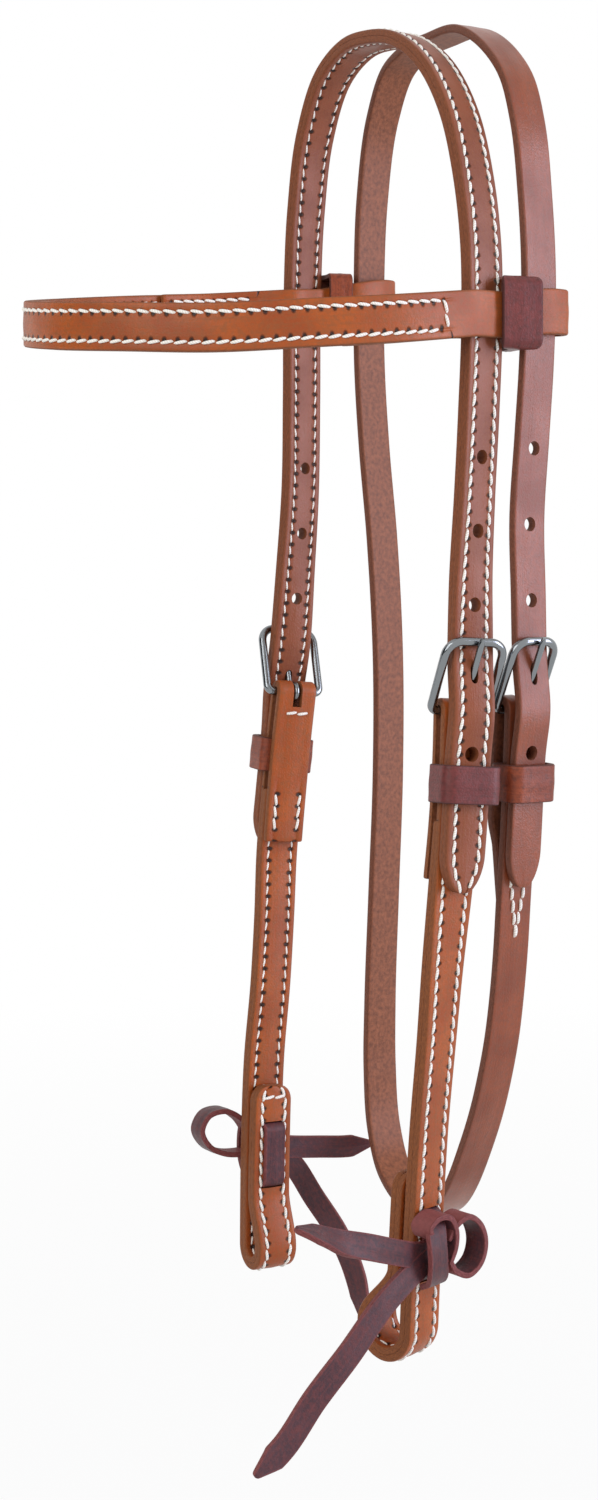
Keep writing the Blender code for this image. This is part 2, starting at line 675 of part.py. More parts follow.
def crown(line, near, far):
    dense = np.linspace(far.tip, near.tip, 2 * DENSE_COUNT)
    length = near.tip - far.tip
    zones = [(0, TIP_LENGTH, FINE_STEP), (length - TIP_LENGTH, length, FINE_STEP)]
    for buckled in (near, far):
        middle = buckled.bar - far.tip
        zones.append((middle - 2 * LIFT_REACH, middle + 2 * LIFT_REACH, 2 * FINE_STEP))
    kept = stations(line.place(dense), line.wide(dense), zones)
    along = far.tip + kept * length / kept[-1]
    rise = lift(along, near.bar) + lift(along, far.bar)
    holes = billet_holes(near) + billet_holes(far)
    tip = (TIP_LENGTH, TIP_BLUNT, TIP_ROUNDNESS)
    for name, side, finish in (("crown_outer_ply", 1, FACE), ("crown_lining_ply", -1, LINING)):
        centre = line.place(along, side * PLY_SHIFT + rise)
        widths = end_widths(centre, STRAP_WIDTH, tip, tip)
        piece = strap(name, centre, line.wide(along), widths, PLY, finish)
        for hole in holes:
            boolean(piece, hole)


def throat_strap(line, buckled):
    """One strap: the billet, over the poll, under the throat and up to the chape."""
    billet = straight((buckled.tip, 0), (0, 0))
    billet[:, 1] = lift(billet[:, 0], buckled.bar)
    full = line.along[-1]
    rising = straight((full, 0), (buckled.bar, 0))
    rising[:, 1] = buckled.strand * ease((full - rising[:, 0]) / THROAT_STEP_LENGTH)
    chape = chape_path(buckled, THROAT_CHAPE_LENGTH)[::-1]
    closing = ease((chape[:, 0] - buckled.below(KEEPER_POCKET)) / THROAT_CLOSE_LENGTH)
    inner = chape[:, 1] < buckled.bar_out
    chape[inner, 1] += closing[inner] * (POCKET - SEAM_GAP)
    rows = np.vstack([drawn(line, billet)[:-1], drawn(line, rising)[:-1], drawn(line, chape)])
    length = lengths_along(rows)[-1]
    bar = abs(buckled.tip - buckled.bar)
    zones = [
        (0, TIP_LENGTH, FINE_STEP),
        (bar - 2 * LIFT_REACH, bar + 2 * LIFT_REACH, 2 * FINE_STEP),
        (length - THROAT_CHAPE_POINT, length, 2 * FINE_STEP),
    ]
    rows = thinned(rows, zones)
    centre = rows[:, :3]
    tip = (TIP_LENGTH, TIP_BLUNT, TIP_ROUNDNESS)
    point = (THROAT_CHAPE_POINT, TIP_BLUNT, 1)
    widths = end_widths(centre, THROAT_WIDTH, tip, point)
    piece = strap("throat_strap", centre, rows[:, 3:], widths, THROAT_PLY, FACE)
    boolean(piece, tongue_slot(buckled))
    for hole in billet_holes(buckled):
        boolean(piece, hole)


def cheek(line, buckled):
    """Outer ply and lining of one cheek: chape, doubled strap, bit loop and its returned end."""
    down = buckled.down
    middle = buckled.strand - PLY_SHIFT
    radius, loop_lift, fold_return, above_bend = BIT_LOOPS[buckled.name]
    bend_along = line.at_height(-(DROP - loop_lift - radius - DOUBLED / 2), down > 0)
    returned = middle - DOUBLED - FOLD_GAP
    outside = straight((buckled.bar, middle), (bend_along, middle))
    bend = arc((bend_along, middle - radius), radius, 90, 90 - 180 * down)
    back = straight((bend_along, 0), (bend_along - down * fold_return, 0))
    closed = ease(np.abs(back[:, 0] - bend_along) / BIT_LOOP_NECK)
    bulge = middle - 2 * radius
    back[:, 1] = bulge + closed * (returned - bulge)
    path = np.vstack([outside[:-1], bend[:-1], back])
    flat = np.pad(path, ((0, 0), (0, 1)))
    along = lengths_along(flat)
    zones = [(along[-1] - FOLD_ROUND, along[-1], FINE_STEP)]
    kept = stations(flat, line.wide(path[:, 0]), zones)
    end = (FOLD_ROUND, FOLD_ROUND, 2)
    outer_path = read_rows(shifted(path, down * PLY_SHIFT), along, kept)
    lining_kept = kept[kept > KEEPER_POCKET + STEP / 2]
    lining_kept = np.concatenate([[KEEPER_POCKET], lining_kept])
    lining_path = read_rows(shifted(path, -down * PLY_SHIFT), along, lining_kept)
    chape = thinned(drawn(line, chape_path(buckled, CHAPE_LENGTH)))
    rows = np.vstack([chape[:-1], drawn(line, outer_path)])
    outer = strap(
        buckled.name + "_outer_ply", rows[:, :3], rows[:, 3:],
        end_widths(rows[:, :3], STRAP_WIDTH, end=end), PLY, FACE,
    )
    rows = drawn(line, lining_path)
    lining = strap(
        buckled.name + "_lining_ply", rows[:, :3], rows[:, 3:],
        end_widths(rows[:, :3], STRAP_WIDTH, end=end), PLY, LINING,
    )
    boolean(outer, tongue_slot(buckled))
    knot = bend_along - down * above_bend
    stack = (middle + DOUBLED / 2, returned - DOUBLED / 2)
    for step in (-1, 1):
        place = knot + step * SLOT_SPACING / 2
        centre = line.place(place, sum(stack) / 2)
        axes = (line.wide(place), line.outward(place), np.cross(line.wide(place), line.outward(place)))
        depth = stack[0] - stack[1] + 2 * CUT_OVERRUN
        sizes = (THONG_WIDTH + 2 * THONG_ROOM, depth, THONG + 2 * THONG_ROOM)
        slot = block(f"{buckled.name}_slot_{step}", centre, axes, sizes)
        boolean(outer, slot)
        boolean(lining, slot)
    return knot, stack


def browband(side, throat):
    """Outer ply with a loop at each end, its lining, and the wrap that cinches each loop."""
    upward = np.array([0.0, 0.0, 1.0])
    crown_step = DOUBLED / 2 + LOOP_ROOM + PLY / 2
    throat_step = THROAT_PLY / 2 + LOOP_ROOM + PLY / 2
    loops = {}
    for name, near in (("near", True), ("far", False)):
        front, crown_height, throat_height, rear = np.array(BROW_LOOP_SHARES[name]) * BROW_DROP
        at = side.at_height(crown_height, near)
        middle, wide, out = side.place(at), side.wide(at), side.outward(at)
        at = throat.at_height(throat_height, near)
        throat_middle, throat_wide, throat_out = throat.place(at), throat.wide(at), throat.outward(at)
        half = wide * STRAP_WIDTH / 2
        throat_half = throat_wide * THROAT_WIDTH / 2
        outer = [
            middle + out * crown_step - half,
            middle + out * crown_step + half,
            throat_middle + throat_out * throat_step - throat_half,
            throat_middle + throat_out * throat_step + throat_half * LOOP_END_SHARE,
        ]
        inner = [
            throat_middle - throat_out * throat_step + throat_half * LOOP_END_SHARE,
            throat_middle - throat_out * throat_step - throat_half,
            middle - out * crown_step + half,
            middle - out * crown_step - half,
        ]
        turn = []
        for angle in np.radians(LOOP_TURN_DEGREES):
            spoke = throat_out * math.cos(angle) + throat_wide * math.sin(angle)
            turn.append(throat_middle + throat_half + throat_step * spoke)
        heights = [front, crown_height, throat_height, rear]
        heights += [rear] * len(LOOP_TURN_DEGREES) + heights[::-1]
        points = np.array(outer + turn + inner)
        points[:, 2] = heights
        loops[name] = points
        wrap(name, points, out)
    scale = np.array([HALF_SPREAD, BROW_REACH, BROW_DROP])
    front_points = np.vstack([loops["near"][:1], np.array(BROW_SHARES) * scale, loops["far"][:1]])
    front_line = smooth(front_points)
    along = lengths_along(front_line)
    run = unit(np.gradient(front_line, along, axis=0))
    outward = unit(np.cross(upward, run))
    kept = stations(front_line, np.tile(upward, (len(front_line), 1)))
    total = along[-1]

    def layer(count, start, end):
        """The front line stepped inwards by some plies, between two distances."""
        inside = kept[(kept > start + FINE_STEP) & (kept < end - FINE_STEP)]
        wanted = np.concatenate([[start], inside, [end]])
        return read_rows(front_line - outward * count * (PLY + SEAM_GAP), along, wanted)

    def level(points):
        return thinned(np.hstack([points, np.tile(upward, (len(points), 1))]))[:, :3]

    near_back = layer(2, LOOP_LEAD, LOOP_LEAD + TURN_BACK)[::-1]
    far_back = layer(2, total - LOOP_LEAD - TURN_BACK, total - LOOP_LEAD)[::-1]
    near_loop = smooth(np.vstack([near_back[-2:], loops["near"][::-1], front_points[1:2]]))
    far_loop = smooth(np.vstack([front_points[-2:-1], loops["far"], far_back[:2]]))
    near_loop = cut_between(near_loop, near_back[-1], loops["near"][0])
    far_loop = cut_between(far_loop, loops["far"][0], far_back[0])
    centre = np.vstack([
        near_back[:-1], level(near_loop)[:-1], layer(0, 0, total)[:-1], level(far_loop)[:-1], far_back,
    ])
    across = np.tile(upward, (len(centre), 1))
    strap("browband_outer_ply", centre, across, STRAP_WIDTH, PLY, FACE)
    centre = layer(1, LOOP_LEAD, total - LOOP_LEAD)
    strap("browband_lining_ply", centre, np.tile(upward, (len(centre), 1)), STRAP_WIDTH, PLY, LINING)


def cut_between(line, start, end):
    """The stretch of a dense line between the stations nearest to two places."""
    first = np.argmin(np.linalg.norm(line - start, axis=1))
    last = np.argmin(np.linalg.norm(line - end, axis=1))
    return line[first : last + 1]


def wrap(name, loop, out):
    """A strip round both strands of a browband loop, between the crown and throat straps."""
    upward = np.array([0.0, 0.0, 1.0])
    outer_run, inner_run = loop[2] - loop[1], loop[-3] - loop[-2]
    wide = unit((outer_run + inner_run) * [1, 1, 0])
    outward = np.cross(wide, upward) * np.sign(np.dot(np.cross(wide, upward), out))
    middle = (loop[1] + loop[2] + loop[-3] + loop[-2]) / 4
    crown_edge = max(np.dot(loop[1], wide), np.dot(loop[-2], wide))
    throat_edge = min(np.dot(loop[2], wide), np.dot(loop[-3], wide))
    middle = middle + wide * ((crown_edge + throat_edge) / 2 - np.dot(middle, wide))
    waist = min(WRAP_WIDTH, throat_edge - crown_edge - 2 * WAIST_ROOM)
    places = np.stack([(loop - middle) @ wide, (loop - middle) @ outward], axis=1)
    outer, inner = places[:4], places[-4:][::-1]
    face_span = np.linspace(-WRAP_WIDTH / 2, WRAP_WIDTH / 2, 5)
    waist_span = np.linspace(-waist / 2, waist / 2, 3)
    clear = PLY / 2 + WRAP_ROOM + WRAP_LEATHER / 2
    high = np.interp(face_span, *outer.T).max() + clear
    low = np.interp(waist_span, *inner.T).min() - clear
    half = STRAP_WIDTH / 2 + WRAP_STAND + WRAP_LEATHER / 2
    ring = rounded_loop(half, low, high, WRAP_STAND, WRAP_STAND)
    centre = middle + ring[:, :1] * upward + ring[:, 1:] * outward
    widths = np.where(ring[:, 1] > high - WRAP_ROOM, WRAP_WIDTH, waist)
    across = np.tile(wide, (len(ring), 1))
    strap(f"{name}_browband_wrap", centre, across, widths, WRAP_LEATHER, DARK_LEATHER, closed=True)


def bit_tie(line, buckled, knot, stack):
    """A thong through both slots, knotted in a bow on the outside; its ends hang free."""
    down = buckled.down
    outer, inner = stack
    name = buckled.name.replace("cheek", "bit_tie")
    half = SLOT_SPACING / 2
    clear = SEAM_GAP + THONG / 2
    ring = rounded_loop(half, inner - clear, outer + clear, THONG, THONG)
    centre = line.place(knot + down * ring[:, 0], ring[:, 1])
    across = line.wide(knot + down * ring[:, 0])
    staple = strap(name, centre, across, THONG_WIDTH, THONG, TIE_LEATHER, closed=True)
    wide, out = line.wide(knot), line.outward(knot)
    up = np.array([0.0, 0.0, 1.0])
    seat = line.place(knot, outer + clear)

    def world(shares, size):
        points = np.asarray(shares, float)[:, :3] * size
        return seat + down * points[:, :1] * wide + points[:, 1:2] * up + points[:, 2:] * out

    core = (THONG_WIDTH, KNOT_DEPTH, KNOT_LENGTH)
    boolean(staple, block(name + "_core", seat + out * THONG, (wide, out, up), core), "UNION")
    shares = TIE_SHARES[buckled.name]
    bow = smooth(world(shares["bow"], KNOT_SIZE))
    band = smooth(world(shares["band"], KNOT_SIZE))
    pieces = [("bow", bow, np.tile(out, (len(bow), 1))), ("band", band, np.tile(wide, (len(band), 1)))]
    for tail in ("upper_tail", "lower_tail"):
        rows = smooth(np.array(shares[tail]))
        points = world(rows, TAIL_REACH)
        lean = np.radians(rows[:, 3:])
        run = unit(np.gradient(points, lengths_along(points), axis=0))
        upright = unit(np.cross(np.cross(run, up), run))
        pieces.append((tail, points, np.cos(lean) * upright + np.sin(lean) * np.cross(run, upright)))
    for label, points, across in pieces:
        rows = thinned(np.hstack([points, across]))
        tail = label.endswith("tail")
        tip = (THONG_WIDTH, THONG, 1) if tail else None
        widths = end_widths(rows[:, :3], THONG_WIDTH, end=tip)
        strip = strap(f"{name}_{label}", rows[:, :3], rows[:, 3:], widths, THONG, None, cutter=True)
        boolean(staple, strip, "UNION")


# The whole headstall

clear_scene()
PARTS = new_collection("browband_headstall")
CUTTERS = new_collection("cutters")
FACE = material("russet harness leather", (0.480, 0.118, 0.028), 0.46)
LINING = material("russet lining leather", (0.420, 0.130, 0.045), 0.52)
DARK_LEATHER = material("oiled burgundy leather", (0.155, 0.045, 0.036), 0.55)
TIE_LEATHER = material("latigo thong", (0.110, 0.030, 0.036), 0.58)
STEEL = material("polished stainless steel", (0.560, 0.570, 0.580), 0.22, 1.0)

SIDE = side_line()
THROAT = throat_line()
CHEEK_STRAP = (DOUBLED, PLY, STRAP_WIDTH, BUCKLE_SIDE_ROOM, HOLE_PITCH)
THROAT_STRAP = (THROAT_PLY, THROAT_PLY, THROAT_WIDTH, THROAT_BUCKLE_SIDE_ROOM, THROAT_HOLE_PITCH)
NEAR = Buckled("near_cheek", SIDE, SIDE.at_height(-BILLET_DROP, True), 1, *CHEEK_STRAP)
FAR = Buckled("far_cheek", SIDE, SIDE.at_height(-BILLET_DROP, False), -1, *CHEEK_STRAP)
THROAT_END = Buckled("throat", THROAT, THROAT.at_height(-THROAT_BILLET_DROP, True), 1, *THROAT_STRAP)

crown(SIDE, NEAR, FAR)
throat_strap(THROAT, THROAT_END)
browband(SIDE, THROAT)
for buckled in (NEAR, FAR):
    bit_tie(SIDE, buckled, *cheek(SIDE, buckled))
for buckled in (NEAR, FAR, THROAT_END):
    buckle_frame(buckled)
    buckle_tongue(buckled)
    keeper(buckled)
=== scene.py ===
# %% [markdown]
# # Western browband headstall
# Two doubled and stitched straps hang from the poll, a browband joins them in front, a throat
# strap hangs behind, and thongs tie the bit loops shut.  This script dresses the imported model:
# every piece is a surface worked out with numpy, laid where the model's own solids are.

# %% Load the frame
import math

import bmesh
import bpy
import numpy as np
from mathutils import Matrix, Vector

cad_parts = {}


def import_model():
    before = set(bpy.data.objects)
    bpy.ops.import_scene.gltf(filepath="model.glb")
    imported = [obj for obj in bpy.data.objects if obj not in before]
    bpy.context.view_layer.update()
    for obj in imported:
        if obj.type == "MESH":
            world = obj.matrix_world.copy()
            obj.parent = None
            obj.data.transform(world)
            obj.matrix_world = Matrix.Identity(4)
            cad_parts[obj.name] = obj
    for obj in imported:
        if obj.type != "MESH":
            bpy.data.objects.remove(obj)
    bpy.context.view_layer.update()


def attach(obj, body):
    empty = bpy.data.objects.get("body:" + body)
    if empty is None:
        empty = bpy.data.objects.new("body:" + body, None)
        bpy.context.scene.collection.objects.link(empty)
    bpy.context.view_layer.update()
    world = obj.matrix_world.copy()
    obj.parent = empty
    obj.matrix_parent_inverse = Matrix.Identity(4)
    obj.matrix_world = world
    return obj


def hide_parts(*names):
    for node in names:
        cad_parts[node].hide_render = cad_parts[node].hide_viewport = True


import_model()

MM = 0.001

# %% [markdown]
# ## Sizes that the leather is cut to
# The straps are common 5/8 inch harness strap, and these are the same sizes as the model's.
# Where two plies are sewn together the model keeps a hair of air between them.  Sewn leather
# has none, so the plies here are each thicker by half of that gap and meet.

# %% Strap sizes
STRAP_WIDTH = 15.9 * MM
THROAT_WIDTH = 14.3 * MM
PLY = 2.4 * MM
THROAT_PLY = 3.2 * MM
SEAM_GAP = 0.3 * MM
HALF_SPREAD = 66 * MM
DROP = 464.5 * MM
BILLET_DROP = 301 * MM
THROAT_DROP = 435 * MM
THROAT_BILLET_DROP = 302 * MM
BROW_REACH = 137 * MM
BROW_DROP = 100 * MM
PLY_SHIFT = (PLY + SEAM_GAP) / 2
DOUBLED = 2 * PLY + SEAM_GAP
print(f"doubled strap {STRAP_WIDTH / MM:.1f} x {DOUBLED / MM:.1f} mm")

# %% Sizes of the billets, buckles, keepers and loops
HOLE_DIAMETER = 4.8 * MM
HOLE_PITCH = 25.4 * MM
THROAT_HOLE_PITCH = 26.4 * MM
HOLES_BELOW_TONGUE = 1
HOLES_ABOVE_TONGUE = 3
TIP_LENGTH = 12.5 * MM
TIP_BLUNT = 2.6 * MM
TIP_ROUNDNESS = 1.8
BILLET_LIFT = 2.2 * MM
LIFT_REACH = 12 * MM
WIRE = 3.1 * MM
TONGUE_WIRE = 2.3 * MM
POCKET = max(PLY, WIRE) + 2 * SEAM_GAP
BUCKLE_SIDE_ROOM = 1.5 * MM
THROAT_BUCKLE_SIDE_ROOM = 0.6 * MM
BUCKLE_LENGTH = 26.2 * MM
BUCKLE_TOP_CORNER = 5.5 * MM
BUCKLE_BAR_CORNER = 2.4 * MM
BAR_ABOVE_TIP = 61.5 * MM
TONGUE_OVERHANG = 1.2 * MM
RAIL_ROOM = 0.7 * MM
EYE_ROOM = 0.25 * MM
TONGUE_ROOM = 0.35 * MM
EYE_RADIUS = (WIRE + TONGUE_WIRE) / 2 + EYE_ROOM
HOLE_SEAT_SHARE = 0.15
BUCKLE_PITCH = (STRAP_WIDTH + THROAT_WIDTH) / 2 + BUCKLE_SIDE_ROOM + THROAT_BUCKLE_SIDE_ROOM + 2 * WIRE
CHAPE_LENGTH = 58.5 * MM
KEEPER_POCKET = 38 * MM
THROAT_CHAPE_LENGTH = 84 * MM
THROAT_CHAPE_POINT = 34 * MM
THROAT_STEP_LENGTH = 80 * MM
THROAT_CLOSE_LENGTH = 12 * MM
KEEPER_HEIGHT = 13 * MM
KEEPER_LEATHER = 2.2 * MM
KEEPER_DROP = 25 * MM
KEEPER_SIDE_ROOM = 0.9 * MM
KEEPER_SLACK = 1.8 * MM
KEEPER_CORNER = 3.2 * MM
WRAP_WIDTH = 15 * MM
WRAP_LEATHER = 2 * MM
WRAP_ROOM = 0.5 * MM
WAIST_ROOM = 1 * MM
WRAP_STAND = 2.6 * MM
LOOP_ROOM = 1.2 * MM
LOOP_LEAD = 12 * MM
TURN_BACK = 40 * MM
NEAR_LOOP_RADIUS = 9.4 * MM
FAR_LOOP_RADIUS = 6 * MM
NEAR_LOOP_LIFT = 2.6 * MM
FAR_LOOP_LIFT = 4.8 * MM
BIT_LOOP_NECK = 20 * MM
FOLD_GAP = 1.2 * MM
NEAR_FOLD_RETURN = 52.5 * MM
FAR_FOLD_RETURN = 60.5 * MM
FOLD_ROUND = 6 * MM
THONG_WIDTH = 8.5 * MM
THONG = 2 * MM
SLOT_SPACING = 22 * MM
NEAR_KNOT_ABOVE_BEND = 29.3 * MM
FAR_KNOT_ABOVE_BEND = 34.5 * MM
KNOT_SIZE = 10 * MM
TAIL_REACH = 60 * MM
print(f"cheek and throat buckles {BUCKLE_PITCH / MM:.1f} mm apart, holes {HOLE_PITCH / MM:.1f} mm apart")

# %% [markdown]
# ## The lines that the straps hang in
# A strap is a line with a width direction.  Each table holds the line's bends as shares of the
# sizes above: side, back, height, and how far the strap's face is turned.
# They are the model's own lines, so the leather lands on the model's solids.

# %% Tables of the hanging lines
# The sizes of these shares: half the spread, the pitch of the buckles or the browband's reach,
# and the drop.  A tie's shares are of a knot's or a tail's size, from where it leaves the strap.
SIDE_SHARES = [
    (-0.960, -0.982, -1.010, 2), (-0.975, -0.959, -0.950, 2), (-0.992, -0.922, -0.885, 3),
    (-1.006, -0.855, -0.820, 4), (-1.012, -0.731, -0.758, 5), (-1.035, -0.626, -0.705, 4),
    (-1.052, -0.536, -0.650, 0), (-1.047, -0.437, -0.600, -3), (-1.035, -0.355, -0.555, -4),
    (-1.015, -0.282, -0.510, -3), (-0.997, -0.223, -0.465, -1), (-0.980, -0.181, -0.420, 6),
    (-0.974, -0.093, -0.350, 12), (-0.992, -0.039, -0.270, 12), (-1.005, -0.008, -0.190, 12),
    (-0.962, 0.000, -0.113, 12), (-0.852, 0.000, -0.053, 13), (-0.640, 0.000, -0.010, 14),
    (-0.338, 0.000, 0.0078, 14), (-0.079, 0.000, 0.0074, 14), (0.212, 0.000, -0.0015, 14),
    (0.506, 0.000, -0.026, 14), (0.761, 0.000, -0.070, 13), (0.905, 0.000, -0.122, 12),
    (0.978, -0.006, -0.172, 12), (1.000, -0.023, -0.225, 12), (0.985, -0.056, -0.300, 12),
    (0.973, -0.107, -0.362, 12), (0.980, -0.181, -0.420, 6), (0.997, -0.223, -0.465, -1),
    (1.015, -0.276, -0.510, -3), (1.035, -0.341, -0.555, -4), (1.047, -0.415, -0.600, -2),
    (1.052, -0.508, -0.650, 4), (1.035, -0.575, -0.705, 12), (1.009, -0.615, -0.758, 17),
    (1.002, -0.722, -0.820, 19), (0.988, -0.787, -0.885, 19), (0.970, -0.821, -0.950, 20),
    (0.955, -0.841, -1.010, 20),
]
THROAT_SHARES = [
    (-0.212, 1.089, -1.000, 3), (0.061, 0.982, -0.987, 3), (0.315, 0.877, -0.958, 4),
    (0.480, 0.863, -0.924, 4), (0.610, 0.843, -0.892, 5), (0.715, 0.821, -0.857, 6),
    (0.795, 0.807, -0.822, 7), (0.855, 0.787, -0.787, 8), (0.905, 0.762, -0.750, 8),
    (0.948, 0.739, -0.705, 8), (0.975, 0.762, -0.650, 8), (0.990, 0.790, -0.590, 8),
    (0.995, 0.812, -0.530, 8), (0.988, 0.812, -0.467, 8), (0.985, 0.790, -0.400, 8),
    (0.985, 0.877, -0.336, 8), (0.985, 0.962, -0.274, 8), (0.970, 1.027, -0.206, 8),
    (0.935, 1.027, -0.140, 8), (0.861, 1.027, -0.078, 6), (0.760, 1.027, -0.041, 5),
    (0.590, 1.032, -0.014, 4), (0.292, 1.044, 0.011, 3), (-0.067, 1.086, 0.0145, 3),
    (-0.361, 1.128, 0.0126, 4), (-0.600, 1.171, 0.001, 5), (-0.794, 1.213, -0.034, 7),
    (-0.942, 1.241, -0.107, 9), (-0.988, 1.255, -0.180, 11), (-0.982, 1.252, -0.253, 11),
    (-0.939, 1.275, -0.330, 11), (-0.900, 1.368, -0.415, 11), (-0.868, 1.433, -0.525, 12),
    (-0.864, 1.424, -0.630, 12), (-0.872, 1.354, -0.740, 11), (-0.880, 1.295, -0.840, 9),
    (-0.876, 1.283, -0.895, 6), (-0.822, 1.275, -0.949, 4), (-0.690, 1.235, -0.980, 3),
    (-0.480, 1.176, -0.996, 3),
]
BROW_SHARES = [
    (1.152, -0.290, -1.085), (1.090, -0.500, -1.110), (0.900, -0.720, -1.130),
    (0.560, -0.890, -1.120), (0.130, -0.985, -1.100), (-0.210, -0.980, -1.075),
    (-0.580, -0.885, -1.040), (-0.890, -0.710, -1.000), (-1.075, -0.500, -0.965),
    (-1.130, -0.280, -0.940),
]
BROW_LOOP_SHARES = {
    "near": (-1.048, -1.042, -1.030, -1.020),
    "far": (-0.915, -0.900, -0.870, -0.850),
}
TIE_SHARES = {
    "near_cheek": {
        "bow": [
            (0.00, 0.36, 0.42), (0.34, 0.82, 0.50), (0.84, 1.00, 0.60), (1.30, 0.68, 0.72),
            (1.52, 0.00, 0.78), (1.26, -0.64, 0.76), (0.76, -0.92, 0.66), (0.28, -0.74, 0.50),
            (0.00, -0.32, 0.42),
        ],
        "band": [
            (-0.30, 1.00, 0.12), (-0.50, 0.92, 0.52), (-0.72, 0.42, 0.84), (-0.66, -0.42, 0.84),
            (-0.36, -1.02, 0.50), (-0.22, -1.25, 0.12),
        ],
        "collar": [
            (-0.42, 0.48, 0.36), (-0.80, 0.60, 0.38), (-0.98, 0.92, 0.42), (-0.58, 1.20, 0.46),
            (-0.06, 1.12, 0.52), (0.20, 0.68, 0.56), (0.20, 0.10, 0.54), (0.00, -0.42, 0.46),
        ],
        "upper_tail": [
            (0.03, -0.02, 0.02, 0), (-0.16, -0.01, 0.04, 0), (-0.39, 0.06, 0.05, 4),
            (-0.57, 0.12, 0.03, 14), (-0.74, 0.17, -0.02, 36), (-0.90, 0.24, -0.05, 60),
            (-1.04, 0.29, -0.08, 70),
        ],
        "lower_tail": [
            (0.03, -0.04, 0.02, 0), (-0.16, -0.07, 0.05, 5), (-0.46, -0.22, 0.04, 10),
            (-0.70, -0.44, 0.00, 14), (-0.92, -0.64, -0.05, 14), (-1.12, -0.86, -0.10, 12),
            (-1.29, -0.97, -0.14, 10),
        ],
    },
    "far_cheek": {
        "bow": [
            (0.05, 0.40, 0.42), (0.56, 1.15, 0.50), (1.24, 1.50, 0.60), (1.85, 1.35, 0.72),
            (2.14, 0.80, 0.76), (1.80, 0.15, 0.72), (1.22, -0.14, 0.62), (0.56, -0.20, 0.50),
            (0.05, -0.15, 0.42),
        ],
        "band": [
            (0.05, 1.00, 0.12), (0.00, 0.85, 0.52), (-0.05, 0.25, 0.80), (-0.10, -0.55, 0.80),
            (-0.10, -1.00, 0.50), (-0.05, -1.12, 0.12),
        ],
        "upper_tail": [
            (0.03, 0.02, 0.02, 0), (-0.12, 0.00, 0.04, 0), (-0.29, -0.03, 0.05, 0),
            (-0.51, -0.05, 0.03, 0), (-0.67, -0.06, 0.00, 0), (-0.86, -0.05, -0.04, 0),
        ],
        "lower_tail": [
            (0.03, 0.00, 0.02, 0), (-0.12, -0.01, 0.05, 5), (-0.29, -0.13, 0.06, 10),
            (-0.46, -0.38, 0.04, 14), (-0.62, -0.65, -0.02, 14), (-0.71, -0.92, -0.08, 12),
            (-0.74, -1.18, -0.12, 10),
        ],
    },
}
print("bends", len(SIDE_SHARES), "side,", len(THROAT_SHARES), "throat,", len(BROW_SHARES), "browband")

# %% [markdown]
# ## Smooth lines
# Listed points are joined by cubic Hermite spans, as a spline curve object would do.
# In numpy the same curve is a few array sums, and it can be read at any distance.

# %% Curve helpers
UP = np.array([0.0, 0.0, 1.0])


def unit(vectors):
    """Each vector over its length."""
    return vectors / np.linalg.norm(vectors, axis=-1, keepdims=True)


def smooth(rows, per_span=24):
    """Cubic Hermite spans through the rows.

    In a span, with share t: (2t3 - 3t2 + 1) a + (t3 - 2t2 + t) h m + (3t2 - 2t3) b + (t3 - t2) h n,
    where a and b are its ends, m and n their slopes from the neighbours and h its length."""
    rows = np.asarray(rows, float)
    chord = np.linalg.norm(np.diff(rows[:, :3], axis=0), axis=1)
    slopes = np.gradient(rows, np.concatenate([[0], np.cumsum(chord)]), axis=0)
    share = np.linspace(0, 1, per_span, endpoint=False)[None, :, None]
    start, end, h = rows[:-1, None], rows[1:, None], chord[:, None, None]
    spans = (
        (2 * share**3 - 3 * share**2 + 1) * start
        + (share**3 - 2 * share**2 + share) * h * slopes[:-1, None]
        + (3 * share**2 - 2 * share**3) * end
        + (share**3 - share**2) * h * slopes[1:, None]
    )
    return np.vstack([spans.reshape(-1, rows.shape[1]), rows[-1:]])


def lengths_along(points):
    """Distance from the first point to each point."""
    steps = np.linalg.norm(np.diff(points[:, :3], axis=0), axis=1)
    return np.concatenate([[0], np.cumsum(steps)])


def read_rows(rows, along, wanted):
    """The rows of a dense line at the wanted distances."""
    return np.column_stack([np.interp(wanted, along, column) for column in rows.T])


def width_direction(turn_degrees):
    """Across a hanging strap, front to rear, when its face is turned about the vertical."""
    turn = np.radians(turn_degrees)
    return np.stack([-np.sin(turn), np.cos(turn), np.zeros_like(turn)], axis=-1)


def square_up(centre, across):
    """Unit width and outward normal, square to the run of the strap."""
    tangent = unit(np.gradient(centre, lengths_along(centre), axis=0))
    normal = unit(np.cross(tangent, across))
    return np.cross(normal, tangent), normal


def ease(share):
    """Nought to one with level ends: 3t2 - 2t3."""
    share = np.clip(share, 0, 1)
    return 3 * share**2 - 2 * share**3


